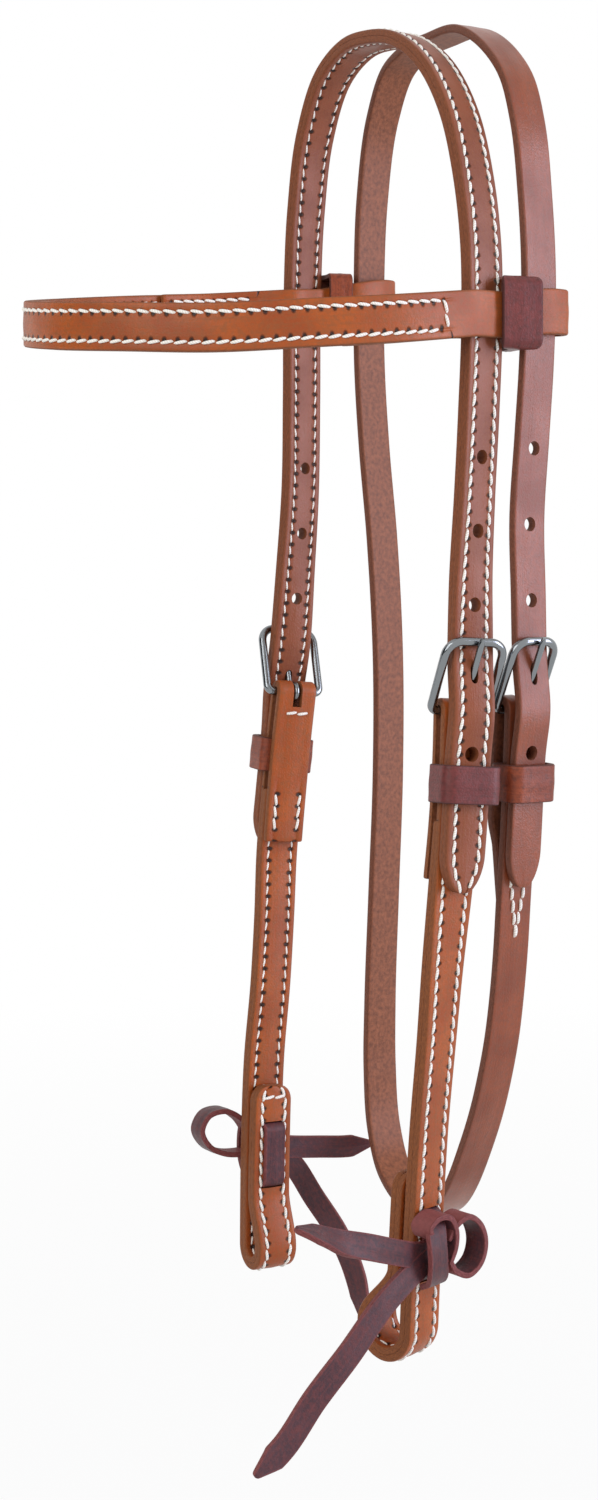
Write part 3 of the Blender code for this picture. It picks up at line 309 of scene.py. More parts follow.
# %% The two hanging lines
class Line:
    """A dense line with the strap's width direction and outward normal at each station."""

    def __init__(self, rows):
        """Rows are points and the turn of the strap's face, in degrees."""
        self.centre = rows[:, :3]
        self.along = lengths_along(rows)
        self.across, self.out = square_up(self.centre, width_direction(rows[:, 3]))

    def read(self, values, along):
        """Vectors of the dense line, read at distances along it."""
        return np.stack([np.interp(along, self.along, values[:, k]) for k in range(3)], axis=-1)

    def place(self, along, out=0.0, across=0.0):
        """World points a distance along the line, stepped outwards and across."""
        step_out = np.asarray(out, float)[..., None] * self.outward(along)
        step_across = np.asarray(across, float)[..., None] * self.wide(along)
        return self.read(self.centre, along) + step_out + step_across

    def wide(self, along):
        """Unit width direction at distances along the line."""
        return unit(self.read(self.across, along))

    def outward(self, along):
        """Unit outward normal at distances along the line."""
        return unit(self.read(self.out, along))

    def at_height(self, height, near):
        """The distance along at which the near or the far leg reaches a height."""
        top = np.argmax(self.centre[:, 2])
        leg = slice(top, None) if near else slice(top, None, -1)
        drop = -self.centre[leg, 2]
        lowest = np.argmax(drop) + 1
        return float(np.interp(-height, drop[:lowest], self.along[leg][:lowest]))


def throat_line():
    """The closed throat line, turned round to run up the far side and down the near side."""
    rows = np.array(THROAT_SHARES) * [HALF_SPREAD, BUCKLE_PITCH, THROAT_DROP, 1]
    lap, per_span = 2, 24
    dense = smooth(np.vstack([rows[-lap:], rows, rows[: lap + 1]]), per_span)
    return Line(dense[lap * per_span : (lap + len(rows)) * per_span + 1][::-1])


SIDE = Line(smooth(np.array(SIDE_SHARES) * [HALF_SPREAD, BUCKLE_PITCH, DROP, 1]))
THROAT = throat_line()
print(f"side line {SIDE.along[-1]:.3f} m, throat line {THROAT.along[-1]:.3f} m")


# %% [markdown]
# ## Buckled ends
# A buckle's bar, tongue, chape and billet all follow from where the billet's tip lies.  The
# frame leans until its top rail rests on the billet, and the tongue leans with it.

# %% Where each buckle sits
def lift(along, bar_along):
    """How far a billet rises off the cheek as it passes the bar: a bell curve."""
    return BILLET_LIFT * np.exp(-(((along - bar_along) / LIFT_REACH) ** 2))


TONGUE_TRIES = 12


class Buckled:
    """One buckled strap end: where its bar, tongue, billet tip and chape lie on its line."""

    def __init__(self, name, line, tip_along, down, billet, ply, width, side_room, pitch):
        """The frame leans by asin((reach + bow) / length): reach is how far out its rail has to stand,
        and bow how far the strap's own curve carries it in."""
        self.name, self.line, self.down = name, line, down
        self.billet, self.ply, self.width, self.side_room = billet, ply, width, side_room
        self.tip, self.pitch = tip_along, pitch
        self.bar = tip_along - down * BAR_ABOVE_TIP
        self.strand = -(billet / 2 + SEAM_GAP + ply / 2)
        self.fold = (POCKET + ply) / 2
        self.bar_out = self.strand - self.fold
        self.bar_place = line.place(self.bar, self.bar_out)
        self.bar_axis = line.wide(self.bar)
        self.outward = line.outward(self.bar)
        rise = np.cross(self.outward, self.bar_axis)
        self.rise = rise * np.sign(rise[2])
        reach = billet / 2 + RAIL_ROOM + WIRE / 2 - self.bar_out
        rail_along = self.bar - down * math.sqrt(BUCKLE_LENGTH**2 - reach**2)
        bow = np.dot(line.place(rail_along) - line.place(self.bar), self.outward)
        lean = math.asin((reach + bow) / BUCKLE_LENGTH)
        self.up = self.rise * math.cos(lean) + self.outward * math.sin(lean)
        self.face = self.outward * math.cos(lean) - self.rise * math.sin(lean)
        self.hole_rise = self.tongue_rise(lean)

    def tongue_rise(self, lean):
        """How far above the bar the tongue meets its hole, on the billet that bows over the bar."""
        level = HOLE_SEAT_SHARE * self.billet - self.bar_out - EYE_RADIUS / math.cos(lean)
        rise = level / math.tan(lean)
        for _ in range(TONGUE_TRIES):
            rise = (level + lift(rise, 0.0)) / math.tan(lean)
        return rise

    def below(self, distance):
        """The place along the line a distance below the bar."""
        return self.bar + self.down * distance

    def world(self, local):
        """Points given as (across, up, out) from the bar, in the leaning buckle's own axes."""
        axes = np.stack([np.cross(self.up, self.face), self.up, self.face])
        return self.bar_place + np.asarray(local, float) @ axes


CHEEK_STRAP = (DOUBLED, PLY, STRAP_WIDTH, BUCKLE_SIDE_ROOM, HOLE_PITCH)
THROAT_STRAP = (THROAT_PLY, THROAT_PLY, THROAT_WIDTH, THROAT_BUCKLE_SIDE_ROOM, THROAT_HOLE_PITCH)
NEAR = Buckled("near_cheek", SIDE, SIDE.at_height(-BILLET_DROP, True), 1, *CHEEK_STRAP)
FAR = Buckled("far_cheek", SIDE, SIDE.at_height(-BILLET_DROP, False), -1, *CHEEK_STRAP)
THROAT_END = Buckled("throat", THROAT, THROAT.at_height(-THROAT_BILLET_DROP, True), 1, *THROAT_STRAP)
print("near bar", np.round(NEAR.bar_place, 4), "far bar", np.round(FAR.bar_place, 4))


# %% [markdown]
# ## Colours and nodes
# Colours are written as sRGB hex, as a picker shows them, and one function turns them to the
# linear values that Blender's shaders add up.  One helper adds any node with its settings.

# %% Colour and node helpers
def linear(hex_code):
    """sRGB hex to linear red, green, blue and alpha."""
    channels = np.array([int(hex_code[i : i + 2], 16) for i in (1, 3, 5)]) / 255
    bright = ((channels + 0.055) / 1.055) ** 2.4
    return (*np.where(channels <= 0.04045, channels / 12.92, bright), 1.0)


def add_node(tree, kind, inputs=None, **settings):
    """A new node: settings are its own properties; an input is set to a value or linked to a socket."""
    made = tree.nodes.new(kind)
    for key, value in settings.items():
        setattr(made, key, value)
    for socket, value in (inputs or {}).items():
        if isinstance(value, bpy.types.NodeSocket):
            tree.links.new(value, made.inputs[socket])
        else:
            made.inputs[socket].default_value = value
    return made


def new_material(name, sockets):
    """A material, its node tree and its Principled shader, with the shader's plain sockets set."""
    finish = bpy.data.materials.new(name)
    finish.use_nodes = True
    shader = finish.node_tree.nodes["Principled BSDF"]
    for socket, value in sockets.items():
        shader.inputs[socket].default_value = value
    return finish, finish.node_tree, shader


def add_object(name, data):
    """A new object of the scene that shows a mesh, a lamp or a camera."""
    made = bpy.data.objects.new(name, data)
    bpy.context.scene.collection.objects.link(made)
    return made


# %% [markdown]
# ## Leather
# Harness leather is cowhide, dyed russet and stuffed with oil and wax.  Its grain side is
# smooth and takes a soft shine, its cut edge is darker and shows fibres, and its flesh side is
# matte and fuzzy.  One function makes each leather.  A strap carries a second UV map called
# Finish that says how much of each side a point is: x is the cut edge and y the flesh side.
# A third one, Seam, says how far a point lies from the nearest stitch hole, where the grain is painted dark
# as painted shade in the hole.

# %% Leather material
STITCH_PITCH = 4.6 * MM
HOLE_SPREAD = 0.75 * MM
HOLE_REACH = 1.15 * MM
HOLE_SHIFT = 0.45 * MM
# The near-black colour at each stitch hole is painted shade: the hole's own shadow drawn into the colour.
HOLE_PAINTED_SHADE = "#2A140D"
# Each pattern's size in the hide and its detail.  A pixel of the picture is 0.37 mm, and real
# pores, nap and fibres are finer than that, so they are drawn coarser, as far as they need to show.
PLACE_PATTERNS = {"mottle": (18 * MM, 4.0), "pores": (0.7 * MM, 3.0), "nap": (1.5 * MM, 6.0)}
RUN_PATTERNS = {"streak": (14 * MM, 0.9 * MM, 3.0), "fibres": (1.6 * MM, 0.35 * MM, 4.0)}
# Where each stain starts and is full in its pattern, and the most that it covers: dye that took
# unevenly, dry specks, worn streaks along the strap, the flesh side's fuzz and frayed edges.
STAINS = {
    "shade": ("mottle", 0.4, 0.62, 1.0),
    "speckle": ("nap", 0.44, 0.66, 0.6),
    "lines": ("streak", 0.45, 0.72, 0.5),
    "fuzz": ("nap", 0.3, 0.7, 0.75),
    "frayed": ("fibres", 0.4, 0.68, 1.0),
}
# Each bump's strength and depth.
BUMPS = {
    "pores": (0.8, 0.16 * MM), "streak": (0.5, 0.15 * MM), "torn": (0.8, 0.3 * MM), "holes": (1.0, 0.5 * MM),
}
POLISHED, RUBBED = -0.06, 0.08
DULL_ROUGHNESS = 0.7
HOLE_CORE, HOLE_RIM = 0.55, 1.5


def leather(name, grain, shade, edge, flesh, fibre, roughness=0.42, coat=0.08):
    """Grain, edge and flesh colours mixed by the Finish map, mottled and creased in millimetres, with
    painted shade at the stitch holes.
    """
    sockets = {"IOR": 1.5, "Specular IOR Level": 0.3, "Coat Weight": coat, "Coat Roughness": 0.35}
    finish, tree, shader = new_material(name, sockets)
    place = add_node(tree, "ShaderNodeTexCoord").outputs["Object"]
    run = add_node(tree, "ShaderNodeUVMap", uv_map="UVMap").outputs[0]
    sides = add_node(tree, "ShaderNodeUVMap", uv_map="Finish").outputs[0]
    cut_side, back_side = add_node(tree, "ShaderNodeSeparateXYZ", {0: sides}).outputs[:2]
    pattern = {}
    for label, (size, detail) in PLACE_PATTERNS.items():
        inputs = {"Vector": place, "Scale": 1 / size, "Detail": detail}
        pattern[label] = add_node(tree, "ShaderNodeTexNoise", inputs).outputs[0]
    for label, (size, width, detail) in RUN_PATTERNS.items():
        drawn_run = add_node(tree, "ShaderNodeMapping", {0: run, "Scale": (1 / size, 1 / width, 1)})
        inputs = {"Vector": drawn_run.outputs[0], "Scale": 1.0, "Detail": detail}
        pattern[label] = add_node(tree, "ShaderNodeTexNoise", inputs).outputs[0]
    stain = {}
    for label, (source, start, full, most) in STAINS.items():
        inputs = {0: pattern[source], 1: start, 2: full, 4: most}
        stain[label] = add_node(tree, "ShaderNodeMapRange", inputs).outputs[0]
    hole = hole_share(tree)
    layers = {"face": linear(grain), "back": linear(flesh), "cut": linear(edge)}
    for layer, share, over in (
        ("face", stain["shade"], linear(shade)),
        ("face", stain["speckle"], linear(edge)),
        ("face", stain["lines"], linear(edge)),
        ("back", stain["fuzz"], linear(fibre)),
        ("cut", stain["frayed"], linear(fibre)),
        ("face", back_side, "back"),
        ("face", cut_side, "cut"),
        # painted shade at each stitch hole
        ("face", hole, linear(HOLE_PAINTED_SHADE)),
    ):
        inputs = {0: share, 6: layers[layer], 7: layers[over] if isinstance(over, str) else over}
        layers[layer] = add_node(tree, "ShaderNodeMix", inputs, data_type="RGBA").outputs[2]
    tree.links.new(layers["face"], shader.inputs["Base Color"])
    inputs = {0: pattern["mottle"], 1: 0.3, 2: 0.7, 3: roughness + POLISHED, 4: roughness + RUBBED}
    rough = add_node(tree, "ShaderNodeMapRange", inputs).outputs[0]
    dull = add_node(tree, "ShaderNodeMath", {0: cut_side, 1: back_side}, operation="MAXIMUM").outputs[0]
    rough = add_node(tree, "ShaderNodeMix", {0: dull, 2: rough, 3: DULL_ROUGHNESS}).outputs[0]
    tree.links.new(rough, shader.inputs["Roughness"])
    inputs = {0: pattern["fibres"], 1: cut_side}
    torn = add_node(tree, "ShaderNodeMath", inputs, operation="MULTIPLY").outputs[0]
    heights = {**pattern, "torn": torn, "holes": hole}
    under = {}
    for label, (strength, depth) in BUMPS.items():
        inputs = {"Height": heights[label], "Strength": strength, "Distance": depth, **under}
        under = {"Normal": add_node(tree, "ShaderNodeBump", inputs, invert=label == "holes").outputs[0]}
    tree.links.new(under["Normal"], shader.inputs["Normal"])
    return finish


def hole_share(tree):
    """1 at a stitch hole and 0 away from it: a smooth step on sqrt(x2 + y2) in the Seam map."""
    seam = add_node(tree, "ShaderNodeUVMap", uv_map="Seam").outputs[0]
    phase, reach = add_node(tree, "ShaderNodeSeparateXYZ", {0: seam}).outputs[:2]
    phase = add_node(tree, "ShaderNodeMath", {0: phase, 1: 1.0}, operation="PINGPONG").outputs[0]
    inputs = {0: phase, 1: STITCH_PITCH / HOLE_SPREAD / 2}
    phase = add_node(tree, "ShaderNodeMath", inputs, operation="MULTIPLY").outputs[0]
    away = add_node(tree, "ShaderNodeCombineXYZ", {0: phase, 1: reach}).outputs[0]
    away = add_node(tree, "ShaderNodeVectorMath", {0: away}, operation="LENGTH").outputs["Value"]
    inputs = {0: away, 1: HOLE_CORE, 2: HOLE_RIM, 3: 1.0, 4: 0.0}
    return add_node(tree, "ShaderNodeMapRange", inputs, interpolation_type="SMOOTHSTEP").outputs[0]


# %% The leathers of this headstall
# Harness leather is stuffed with oil, which makes it deep and even with a faint shine; the
# crown's has browned more.  The throat strap's bridle leather is waxed, so its shine is sharper.
# Latigo is soaked in oil and dark red, and the thongs have gone nearly black, with red edges.
# The hex codes are the grain, its darker shade, the cut edge, the flesh side and its fibres.
HARNESS = leather("russet_harness_leather", "#AC531D", "#994518", "#8A4F28", "#96593C", "#6B3B20")
CROWN_LEATHER = leather("brown_harness_leather", "#8C482A", "#7C3E24", "#864A2A", "#92583F", "#67381F")
THROAT_LEATHER = leather(
    "brown_bridle_leather", "#92482A", "#813C22", "#7A4530", "#96593A", "#5C321F", roughness=0.36, coat=0.2,
)
LATIGO = leather("burgundy_latigo_leather", "#773532", "#672C2B", "#4E2826", "#7A4238", "#3C1E1C")
RED_LATIGO = leather("red_brown_latigo_leather", "#93462A", "#823A22", "#5E2E22", "#7E4432", "#4A2418")
THONGS = leather("dark_latigo_thong", "#4E3036", "#43282E", "#6A3434", "#7A4140", "#8A4A48", roughness=0.5)
LEATHERS = HARNESS, CROWN_LEATHER, THROAT_LEATHER, LATIGO, RED_LATIGO, THONGS
print("leathers", [finish.name for finish in LEATHERS])


# %% [markdown]
# ## Thread and steel
# The seams are sewn with waxed off-white linen thread, laid in twisted strands: the eye sees
# short bright humps, ribbed aslant and without shine.  The buckles are stainless wire, tumbled
# to a soft polish, so they show bright and dark bands whose borders are a little soft.

# %% Thread and steel materials
TWIST_LENGTH = 1.1 * MM
TWIST_LEAN = 0.6
TWIST_DEPTH = 0.12 * MM
SCRATCH_SIZE = 0.8 * MM
SCRATCH_DEPTH = 0.08 * MM
STEEL_ROUGHNESS = (0.1, 0.24)


def thread_material():
    """Twisted strands: a wave across the thread's own UV, leaning with the twist; the grooves between
    strands are painted darker, as painted shade.
    """
    finish, tree, shader = new_material("waxed_linen_thread", {"Roughness": 0.62})
    run = add_node(tree, "ShaderNodeUVMap", uv_map="UVMap").outputs[0]
    inputs = {0: run, "Scale": (1 / TWIST_LENGTH, 2.0, 1), "Rotation": (0, 0, TWIST_LEAN)}
    lay = add_node(tree, "ShaderNodeMapping", inputs).outputs[0]
    inputs = {"Vector": lay, "Scale": 0.5, "Distortion": 0.4}
    twist = add_node(tree, "ShaderNodeTexWave", inputs).outputs["Fac"]
    # The same wave paints the grooves darker and the ridges lighter: painted shade and painted highlight
    # that follow the bump.
    inputs = {0: twist, 6: linear("#E9E1D4"), 7: linear("#FFFCF6")}
    colour = add_node(tree, "ShaderNodeMix", inputs, data_type="RGBA")
    tree.links.new(colour.outputs[2], shader.inputs["Base Color"])
    ridge = add_node(tree, "ShaderNodeBump", {"Height": twist, "Strength": 0.5, "Distance": TWIST_DEPTH})
    tree.links.new(ridge.outputs[0], shader.inputs["Normal"])
    return finish


def steel_material():
    """Tumbled stainless wire: fine scratches vary the roughness."""
    sockets = {"Base Color": linear("#868A8D"), "Metallic": 1.0}
    finish, tree, shader = new_material("tumbled_stainless_steel", sockets)
    place = add_node(tree, "ShaderNodeTexCoord").outputs["Object"]
    inputs = {"Vector": place, "Scale": 1 / SCRATCH_SIZE, "Detail": 4.0}
    scratch = add_node(tree, "ShaderNodeTexNoise", inputs).outputs[0]
    inputs = {0: scratch, 3: STEEL_ROUGHNESS[0], 4: STEEL_ROUGHNESS[1]}
    rough = add_node(tree, "ShaderNodeMapRange", inputs)
    tree.links.new(rough.outputs[0], shader.inputs["Roughness"])
    inputs = {"Height": scratch, "Strength": 0.15, "Distance": SCRATCH_DEPTH}
    wear = add_node(tree, "ShaderNodeBump", inputs)
    tree.links.new(wear.outputs[0], shader.inputs["Normal"])
    return finish


THREAD = thread_material()
STEEL = steel_material()
print("thread and steel", THREAD.name, STEEL.name)


# %% [markdown]
# ## Straps
# A strap is a cut section carried along its line.  The section is a ring of points, each given
# by its distance in from the cut edge and its height, so that edges, creases and stitch
# grooves keep their place as the strap narrows to a point.  A cube with bevels could not do
# that, and a curve with a bevel object would lose the groove at the tip.

# %% Sections
EDGE_ROUND = 0.9 * MM
MATED_ROUND = 0.2 * MM
SEAM_INSET = 3.0 * MM
GROOVE_HALF = 0.8 * MM
GROOVE_DEPTH = 0.4 * MM
CROWNING = 0.2 * MM
RAW_EDGE = 0.1 * MM
RAW_EDGE_BLEND = 0.5 * MM
DOME_START = 0.4


def groove_depth(inset):
    """A cosine dip centred on the seam."""
    return GROOVE_DEPTH * (1 + np.cos(np.pi * np.clip((inset - SEAM_INSET) / GROOVE_HALF, -1, 1))) / 2


def half_section(top, round_off, groove, crowning, half_width):
    """One face of a section from its edge to its middle, as (inset, height) rows.

    The corner is a quarter circle and the middle a shallow dome; the points stand ready for a groove."""
    angle = np.radians(np.linspace(0, 90, 5))
    corner = np.stack([round_off * (1 - np.cos(angle)), top - round_off * (1 - np.sin(angle))], axis=1)
    inset = np.linspace(round_off, half_width, 11)[1:]
    if groove:
        groove_end = SEAM_INSET + GROOVE_HALF
        across_groove = SEAM_INSET + GROOVE_HALF * np.linspace(-1, 1, 7)
        inset = np.concatenate([across_groove, np.linspace(groove_end, half_width, 4)[1:]])
    dome = crowning * ease((inset - DOME_START * half_width) / ((1 - DOME_START) * half_width))
    return np.vstack([corner, np.stack([inset, top + dome], axis=1)])


class Section:
    """A whole ring: side, inset, height, and the finish of each point."""

    def __init__(self, top, bottom, width, rounds, grooves, crowning):
        """Rounds and grooves are pairs, for the grain side and the flesh side."""
        upper = half_section(top, rounds[0], grooves[0], crowning, width / 2)
        lower = half_section(bottom, rounds[1], grooves[1], 0.0, width / 2)
        ring = np.vstack([
            np.column_stack([-np.ones(len(upper)), upper]),
            np.column_stack([np.ones(len(upper) - 1), upper[-2::-1]]),
            np.column_stack([np.ones(len(lower)), lower * [1, -1]]),
            np.column_stack([-np.ones(len(lower) - 1), (lower * [1, -1])[-2::-1]]),
        ])
        self.side, self.inset, self.height = ring.T
        self.dip = np.where(self.height > 0, -grooves[0], grooves[1]) * groove_depth(self.inset)
        self.top, self.bottom = top, bottom
        self.limit = np.sqrt(self.inset / (width / 2))
        self.edge = ease(1 - (self.inset - RAW_EDGE) / RAW_EDGE_BLEND)
        self.back = np.where(self.height < 0, 1.0, 0.0)
        flat = np.stack([self.side * (width / 2 - self.inset), self.height], axis=1)
        self.around = lengths_along(np.pad(np.vstack([flat, flat[:1]]), ((0, 0), (0, 1))))
        self.from_seam = (self.inset - SEAM_INSET - HOLE_SHIFT) / HOLE_REACH
        self.grooves = grooves


STITCHED = Section(
    PLY / 2, PLY / 2 + SEAM_GAP / 2, STRAP_WIDTH, (EDGE_ROUND, MATED_ROUND), (1, 0), CROWNING,
)
print("a stitched ply's section has", len(STITCHED.side), "points")


# %% Stations along a strap
STEP = 2.2 * MM
TIP_STEP = 0.8 * MM
POINT_STEP = 1.2 * MM
BEND_STEP_DEGREES = 6.0
TWIST_STEP_DEGREES = 3.0


def angles_between(vectors):
    """Each unit vector's angle from the one before it, with nought for the first."""
    turned = np.arccos(np.clip((vectors[1:] * vectors[:-1]).sum(1), -1, 1))
    return np.concatenate([[0], turned])


def stations(rows, zones):
    """Distances along a line, close together where it bends or twists or in a (start, end, step) zone."""
    along = lengths_along(rows)
    moved = np.concatenate([[True], np.diff(along) > 0])
    rows, along = rows[moved], along[moved]
    tangent = unit(np.gradient(rows[:, :3], along, axis=0))
    turned = angles_between(tangent) / math.radians(BEND_STEP_DEGREES)
    twisted = angles_between(unit(rows[:, 3:])) / math.radians(TWIST_STEP_DEGREES)
    step = np.full(len(along), STEP)
    for start, end, fine_step in zones:
        step[(along >= start) & (along <= end)] = fine_step
    cost = np.cumsum(np.gradient(along) / step + turned + twisted)
    cost -= cost[0]
    wanted = np.linspace(0, cost[-1], max(2, math.ceil(cost[-1]) + 1))
    return np.interp(wanted, cost, along)


def end_widths(along, width, start=None, end=None):
    """Width at each station, narrowed at its ends, each given as (length, blunt width, roundness).

    With share s of the way to the tip: blunt + (width - blunt) (1 - s^n)^(1 / n), so that a
    roundness n of 1 tapers straight and 2 is half an ellipse."""
    widths = np.full(len(along), width)
    for shape, distance in ((start, along), (end, along[-1] - along)):
        if shape:
            length, blunt, roundness = shape
            share = np.clip(1 - distance / length, 0, 1)
            tapered = blunt + (width - blunt) * (1 - share**roundness) ** (1 / roundness)
            widths = np.minimum(widths, tapered)
    return widths


# %% A ring carried along a line
END_SHARES = np.array([0.0, 0.08, 0.3, 0.62])
END_SHRINK = 0.6
SEWN_BLEND = 2 * MM
NO_SEAM = 9.0
SHARP_ANGLE = math.radians(50)
# What the closed ends say in each map: they are raw cut edge, and far from any stitch hole.
END_MAPS = {"UVMap": (0.0, 0.0), "Finish": (1.0, 0.0), "Seam": (0.5, NO_SEAM)}
# The order of a quad's corners, for rings whose points run one way round or the other.
STRAP_ORDER = [0, 1, 2, 3]
ROD_ORDER = [0, 3, 2, 1]


def carried(name, points, closed, order, read_maps, look, body):
    """The mesh of a ring of points carried along a line, riding on its body.

    Quad (i, k) joins points k and k + 1 of rings i and i + 1, and open ends are closed by quads
    from one half of the ring to the other."""
    rows, ring = points.shape[:2]
    i, k = np.meshgrid(np.arange(rows if closed else rows - 1), np.arange(ring), indexing="ij")
    corner_i = np.stack([i, i + 1, i + 1, i], axis=-1).reshape(-1, 4)[:, order]
    corner_k = np.stack([k, k, k + 1, k + 1], axis=-1).reshape(-1, 4)[:, order]
    faces = corner_i % rows * ring + corner_k % ring
    maps = read_maps(corner_i.ravel(), corner_k.ravel())
    if not closed:
        k = np.arange((ring - 2) // 2)
        first = np.stack([k, k + 1, ring - 2 - k, ring - 1 - k], axis=1)[:, order]
        faces = np.vstack([faces, first, (rows - 1) * ring + first[:, ::-1]])
        for label, values in maps.items():
            maps[label] = np.vstack([values, np.tile(END_MAPS[label], (2 * first.size, 1))])
    mesh = bpy.data.meshes.new(name)
    mesh.from_pydata(points.reshape(-1, 3).tolist(), [], faces.tolist())
    for label, values in maps.items():
        layer = mesh.uv_layers.new(name=label)
        layer.data.foreach_set("uv", np.ascontiguousarray(values, np.float32).ravel())
    mesh.materials.append(look)
    mesh.shade_smooth()
    mesh.set_sharp_from_angle(angle=SHARP_ANGLE)
    piece = add_object(name, mesh)
    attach(piece, body)
    return piece


# %% A strap's stations and its surface
class Strip:
    """A strap's stations: middle, width direction, grain-side normal, width, and how far it is sewn."""

    def __init__(self, rows, width, face=1, zones=(), start=None, end=None, closed=False, seams=None):
        """Rows are points and width directions; face is 1 or -1 for the side that the grain is on."""
        if closed:
            self.centre, across = rows[:, :3], rows[:, 3:]
            tangent = unit(np.roll(self.centre, -1, axis=0) - np.roll(self.centre, 1, axis=0))
            self.along = lengths_along(self.centre)
            self.normal = unit(np.cross(tangent, across * face))
            self.across = np.cross(self.normal, tangent)
            self.width = np.broadcast_to(width, len(rows)).astype(float)
        else:
            along = lengths_along(rows)
            kept = stations(rows, zones)
            ends = END_SHARES * EDGE_ROUND
            between = kept[(kept > EDGE_ROUND) & (kept < kept[-1] - EDGE_ROUND)]
            kept = np.unique(np.concatenate([between, ends, kept[-1] - ends]))
            dense = read_rows(rows, along, kept)
            self.centre, self.along = dense[:, :3], kept
            self.across, self.normal = square_up(self.centre, dense[:, 3:] * face)
            self.width = end_widths(kept, width, start, end)
        self.closed = closed
        self.seams = [(0, self.along[-1])] if seams is None else seams
        self.sewn = np.zeros(len(self.along))
        for begin, finish in self.seams:
            inside = np.minimum(self.along - begin, finish - self.along)
            self.sewn = np.maximum(self.sewn, ease(inside / SEWN_BLEND + 1))

    def row(self, side, inset, height):
        """World points along the strap at a side, inset from its edge and height."""
        half = self.width / 2
        reach = half - np.minimum(inset, half * math.sqrt(inset / half.max()))
        return self.centre + side * reach[:, None] * self.across + height * self.normal


def strap(name, strip, section, look, body):
    """The section carried along the strip.

    point(i, k) = centre_i + side_k (width_i / 2 - inset_ik) across_i + height_k normal_i.
    An inset never passes its share of the half width, so a groove closes up towards a tip."""
    half = strip.width[:, None] / 2
    height = section.height + section.dip * strip.sewn[:, None]
    if not strip.closed:
        away = np.minimum(strip.along, strip.along[-1] - strip.along)
        gone = np.clip(1 - away / EDGE_ROUND, 0, 1)
        shrink = EDGE_ROUND * (1 - np.sqrt(1 - gone**2))[:, None]
        height *= 1 - shrink / section.top * END_SHRINK
        half = half - np.minimum(shrink * END_SHRINK, half * 0.5)
    inset = np.minimum(section.inset[None], half * section.limit[None])
    reach = section.side[None] * (half - inset)
    steps = reach[..., None] * strip.across[:, None] + height[..., None] * strip.normal[:, None]
    points = strip.centre[:, None] + steps
    rows, ring = inset.shape
    closing = np.linalg.norm(strip.centre[0] - strip.centre[-1])
    along = np.append(strip.along, strip.along[-1] + closing)
    seam_at = seam_phases(strip, section)
    from_seam = section.from_seam + NO_SEAM * (1 - strip.sewn[:, None])

    def maps(i, k):
        """Distances along and around, the share of each finish, and the way to the seam."""
        here = i % rows, k % ring
        return {
            "UVMap": np.stack([along[i], section.around[k]], axis=1),
            "Finish": np.stack([section.edge[here[1]], section.back[here[1]]], axis=1),
            "Seam": np.stack([seam_at[here], from_seam[here]], axis=1),
        }

    return carried(name, points, strip.closed, STRAP_ORDER, maps, look, body)


def seam_phases(strip, section):
    """Seam distance in half stitches at each station and ring point, and 1 where there is no groove."""
    phases = np.ones((len(strip.centre), len(section.side)))
    for upper, grooved in ((True, section.grooves[0]), (False, section.grooves[1])):
        if not grooved:
            continue
        for side in (-1, 1):
            height = section.top if upper else -section.bottom
            line = strip.row(side, SEAM_INSET, height)
            on_face = (section.side == side) & ((section.height > 0) == upper)
            phases[:, on_face] = (lengths_along(line) / STITCH_PITCH * 2)[:, None]
    return phases


# %% [markdown]
# ## Seams
# A saddle stitch comes up through a hole, lies slanted in its groove and goes down the next.
# One tube per row does all of its stitches: its height, its side step and its thickness are
# waves of the distance, so the thread dives into the leather at each hole.

# %% Stitch rows
# Matched to the stitches that show on the near cheek and the crown.
THREAD_RADIUS = 0.58 * MM
STITCH_SLANT = 0.42 * MM
STITCH_RISE = 0.42 * MM
STITCH_DIP = 1.4 * MM
RINGS_PER_STITCH = 10
THREAD_SIDES = 8
FACE_PULL = 0.0
BACK_PULL = 0.6


def stitch_row(name, path, normal, body, start=0.0, stop=None, slant=1, pull=FACE_PULL):
    """A thread along the path, in whole stitches, pulled into the leather by a share.

    With share q of a stitch and hump s = sin(pi q), it stands out of the path by
    rise (1 - pull) s^0.55 - dip (1 - s)^(5 (1 - pull)), is stepped aside by slant (2 q - 1),
    and its radius is radius (1 - pull / 2) (1 + s^0.5) / 2."""
    along = lengths_along(path)
    stop = along[-1] if stop is None else stop
    count = int((stop - start) / STITCH_PITCH)
    first = math.ceil(start / STITCH_PITCH)
    share = np.linspace(0, 1, RINGS_PER_STITCH, endpoint=False)
    distance = ((first + np.arange(count))[:, None] + share).ravel() * STITCH_PITCH
    share = np.tile(share, count)
    centre = read_rows(path, along, distance)
    out = unit(read_rows(normal, along, distance))
    run = unit(np.gradient(centre, axis=0))
    sideways = np.cross(out, run)
    hump = np.sin(np.pi * share)
    rise = STITCH_RISE * (1 - pull) * hump**0.55 - STITCH_DIP * (1 - hump) ** (5 * (1 - pull))
    aside = slant * STITCH_SLANT * (share - 0.5) * 2
    centre = centre + rise[:, None] * out + aside[:, None] * sideways
    radius = THREAD_RADIUS * (1 - pull / 2) * (0.5 + 0.5 * np.sqrt(hump))
    return tube(name, centre, radius, sideways, THREAD, body, None, THREAD_SIDES)


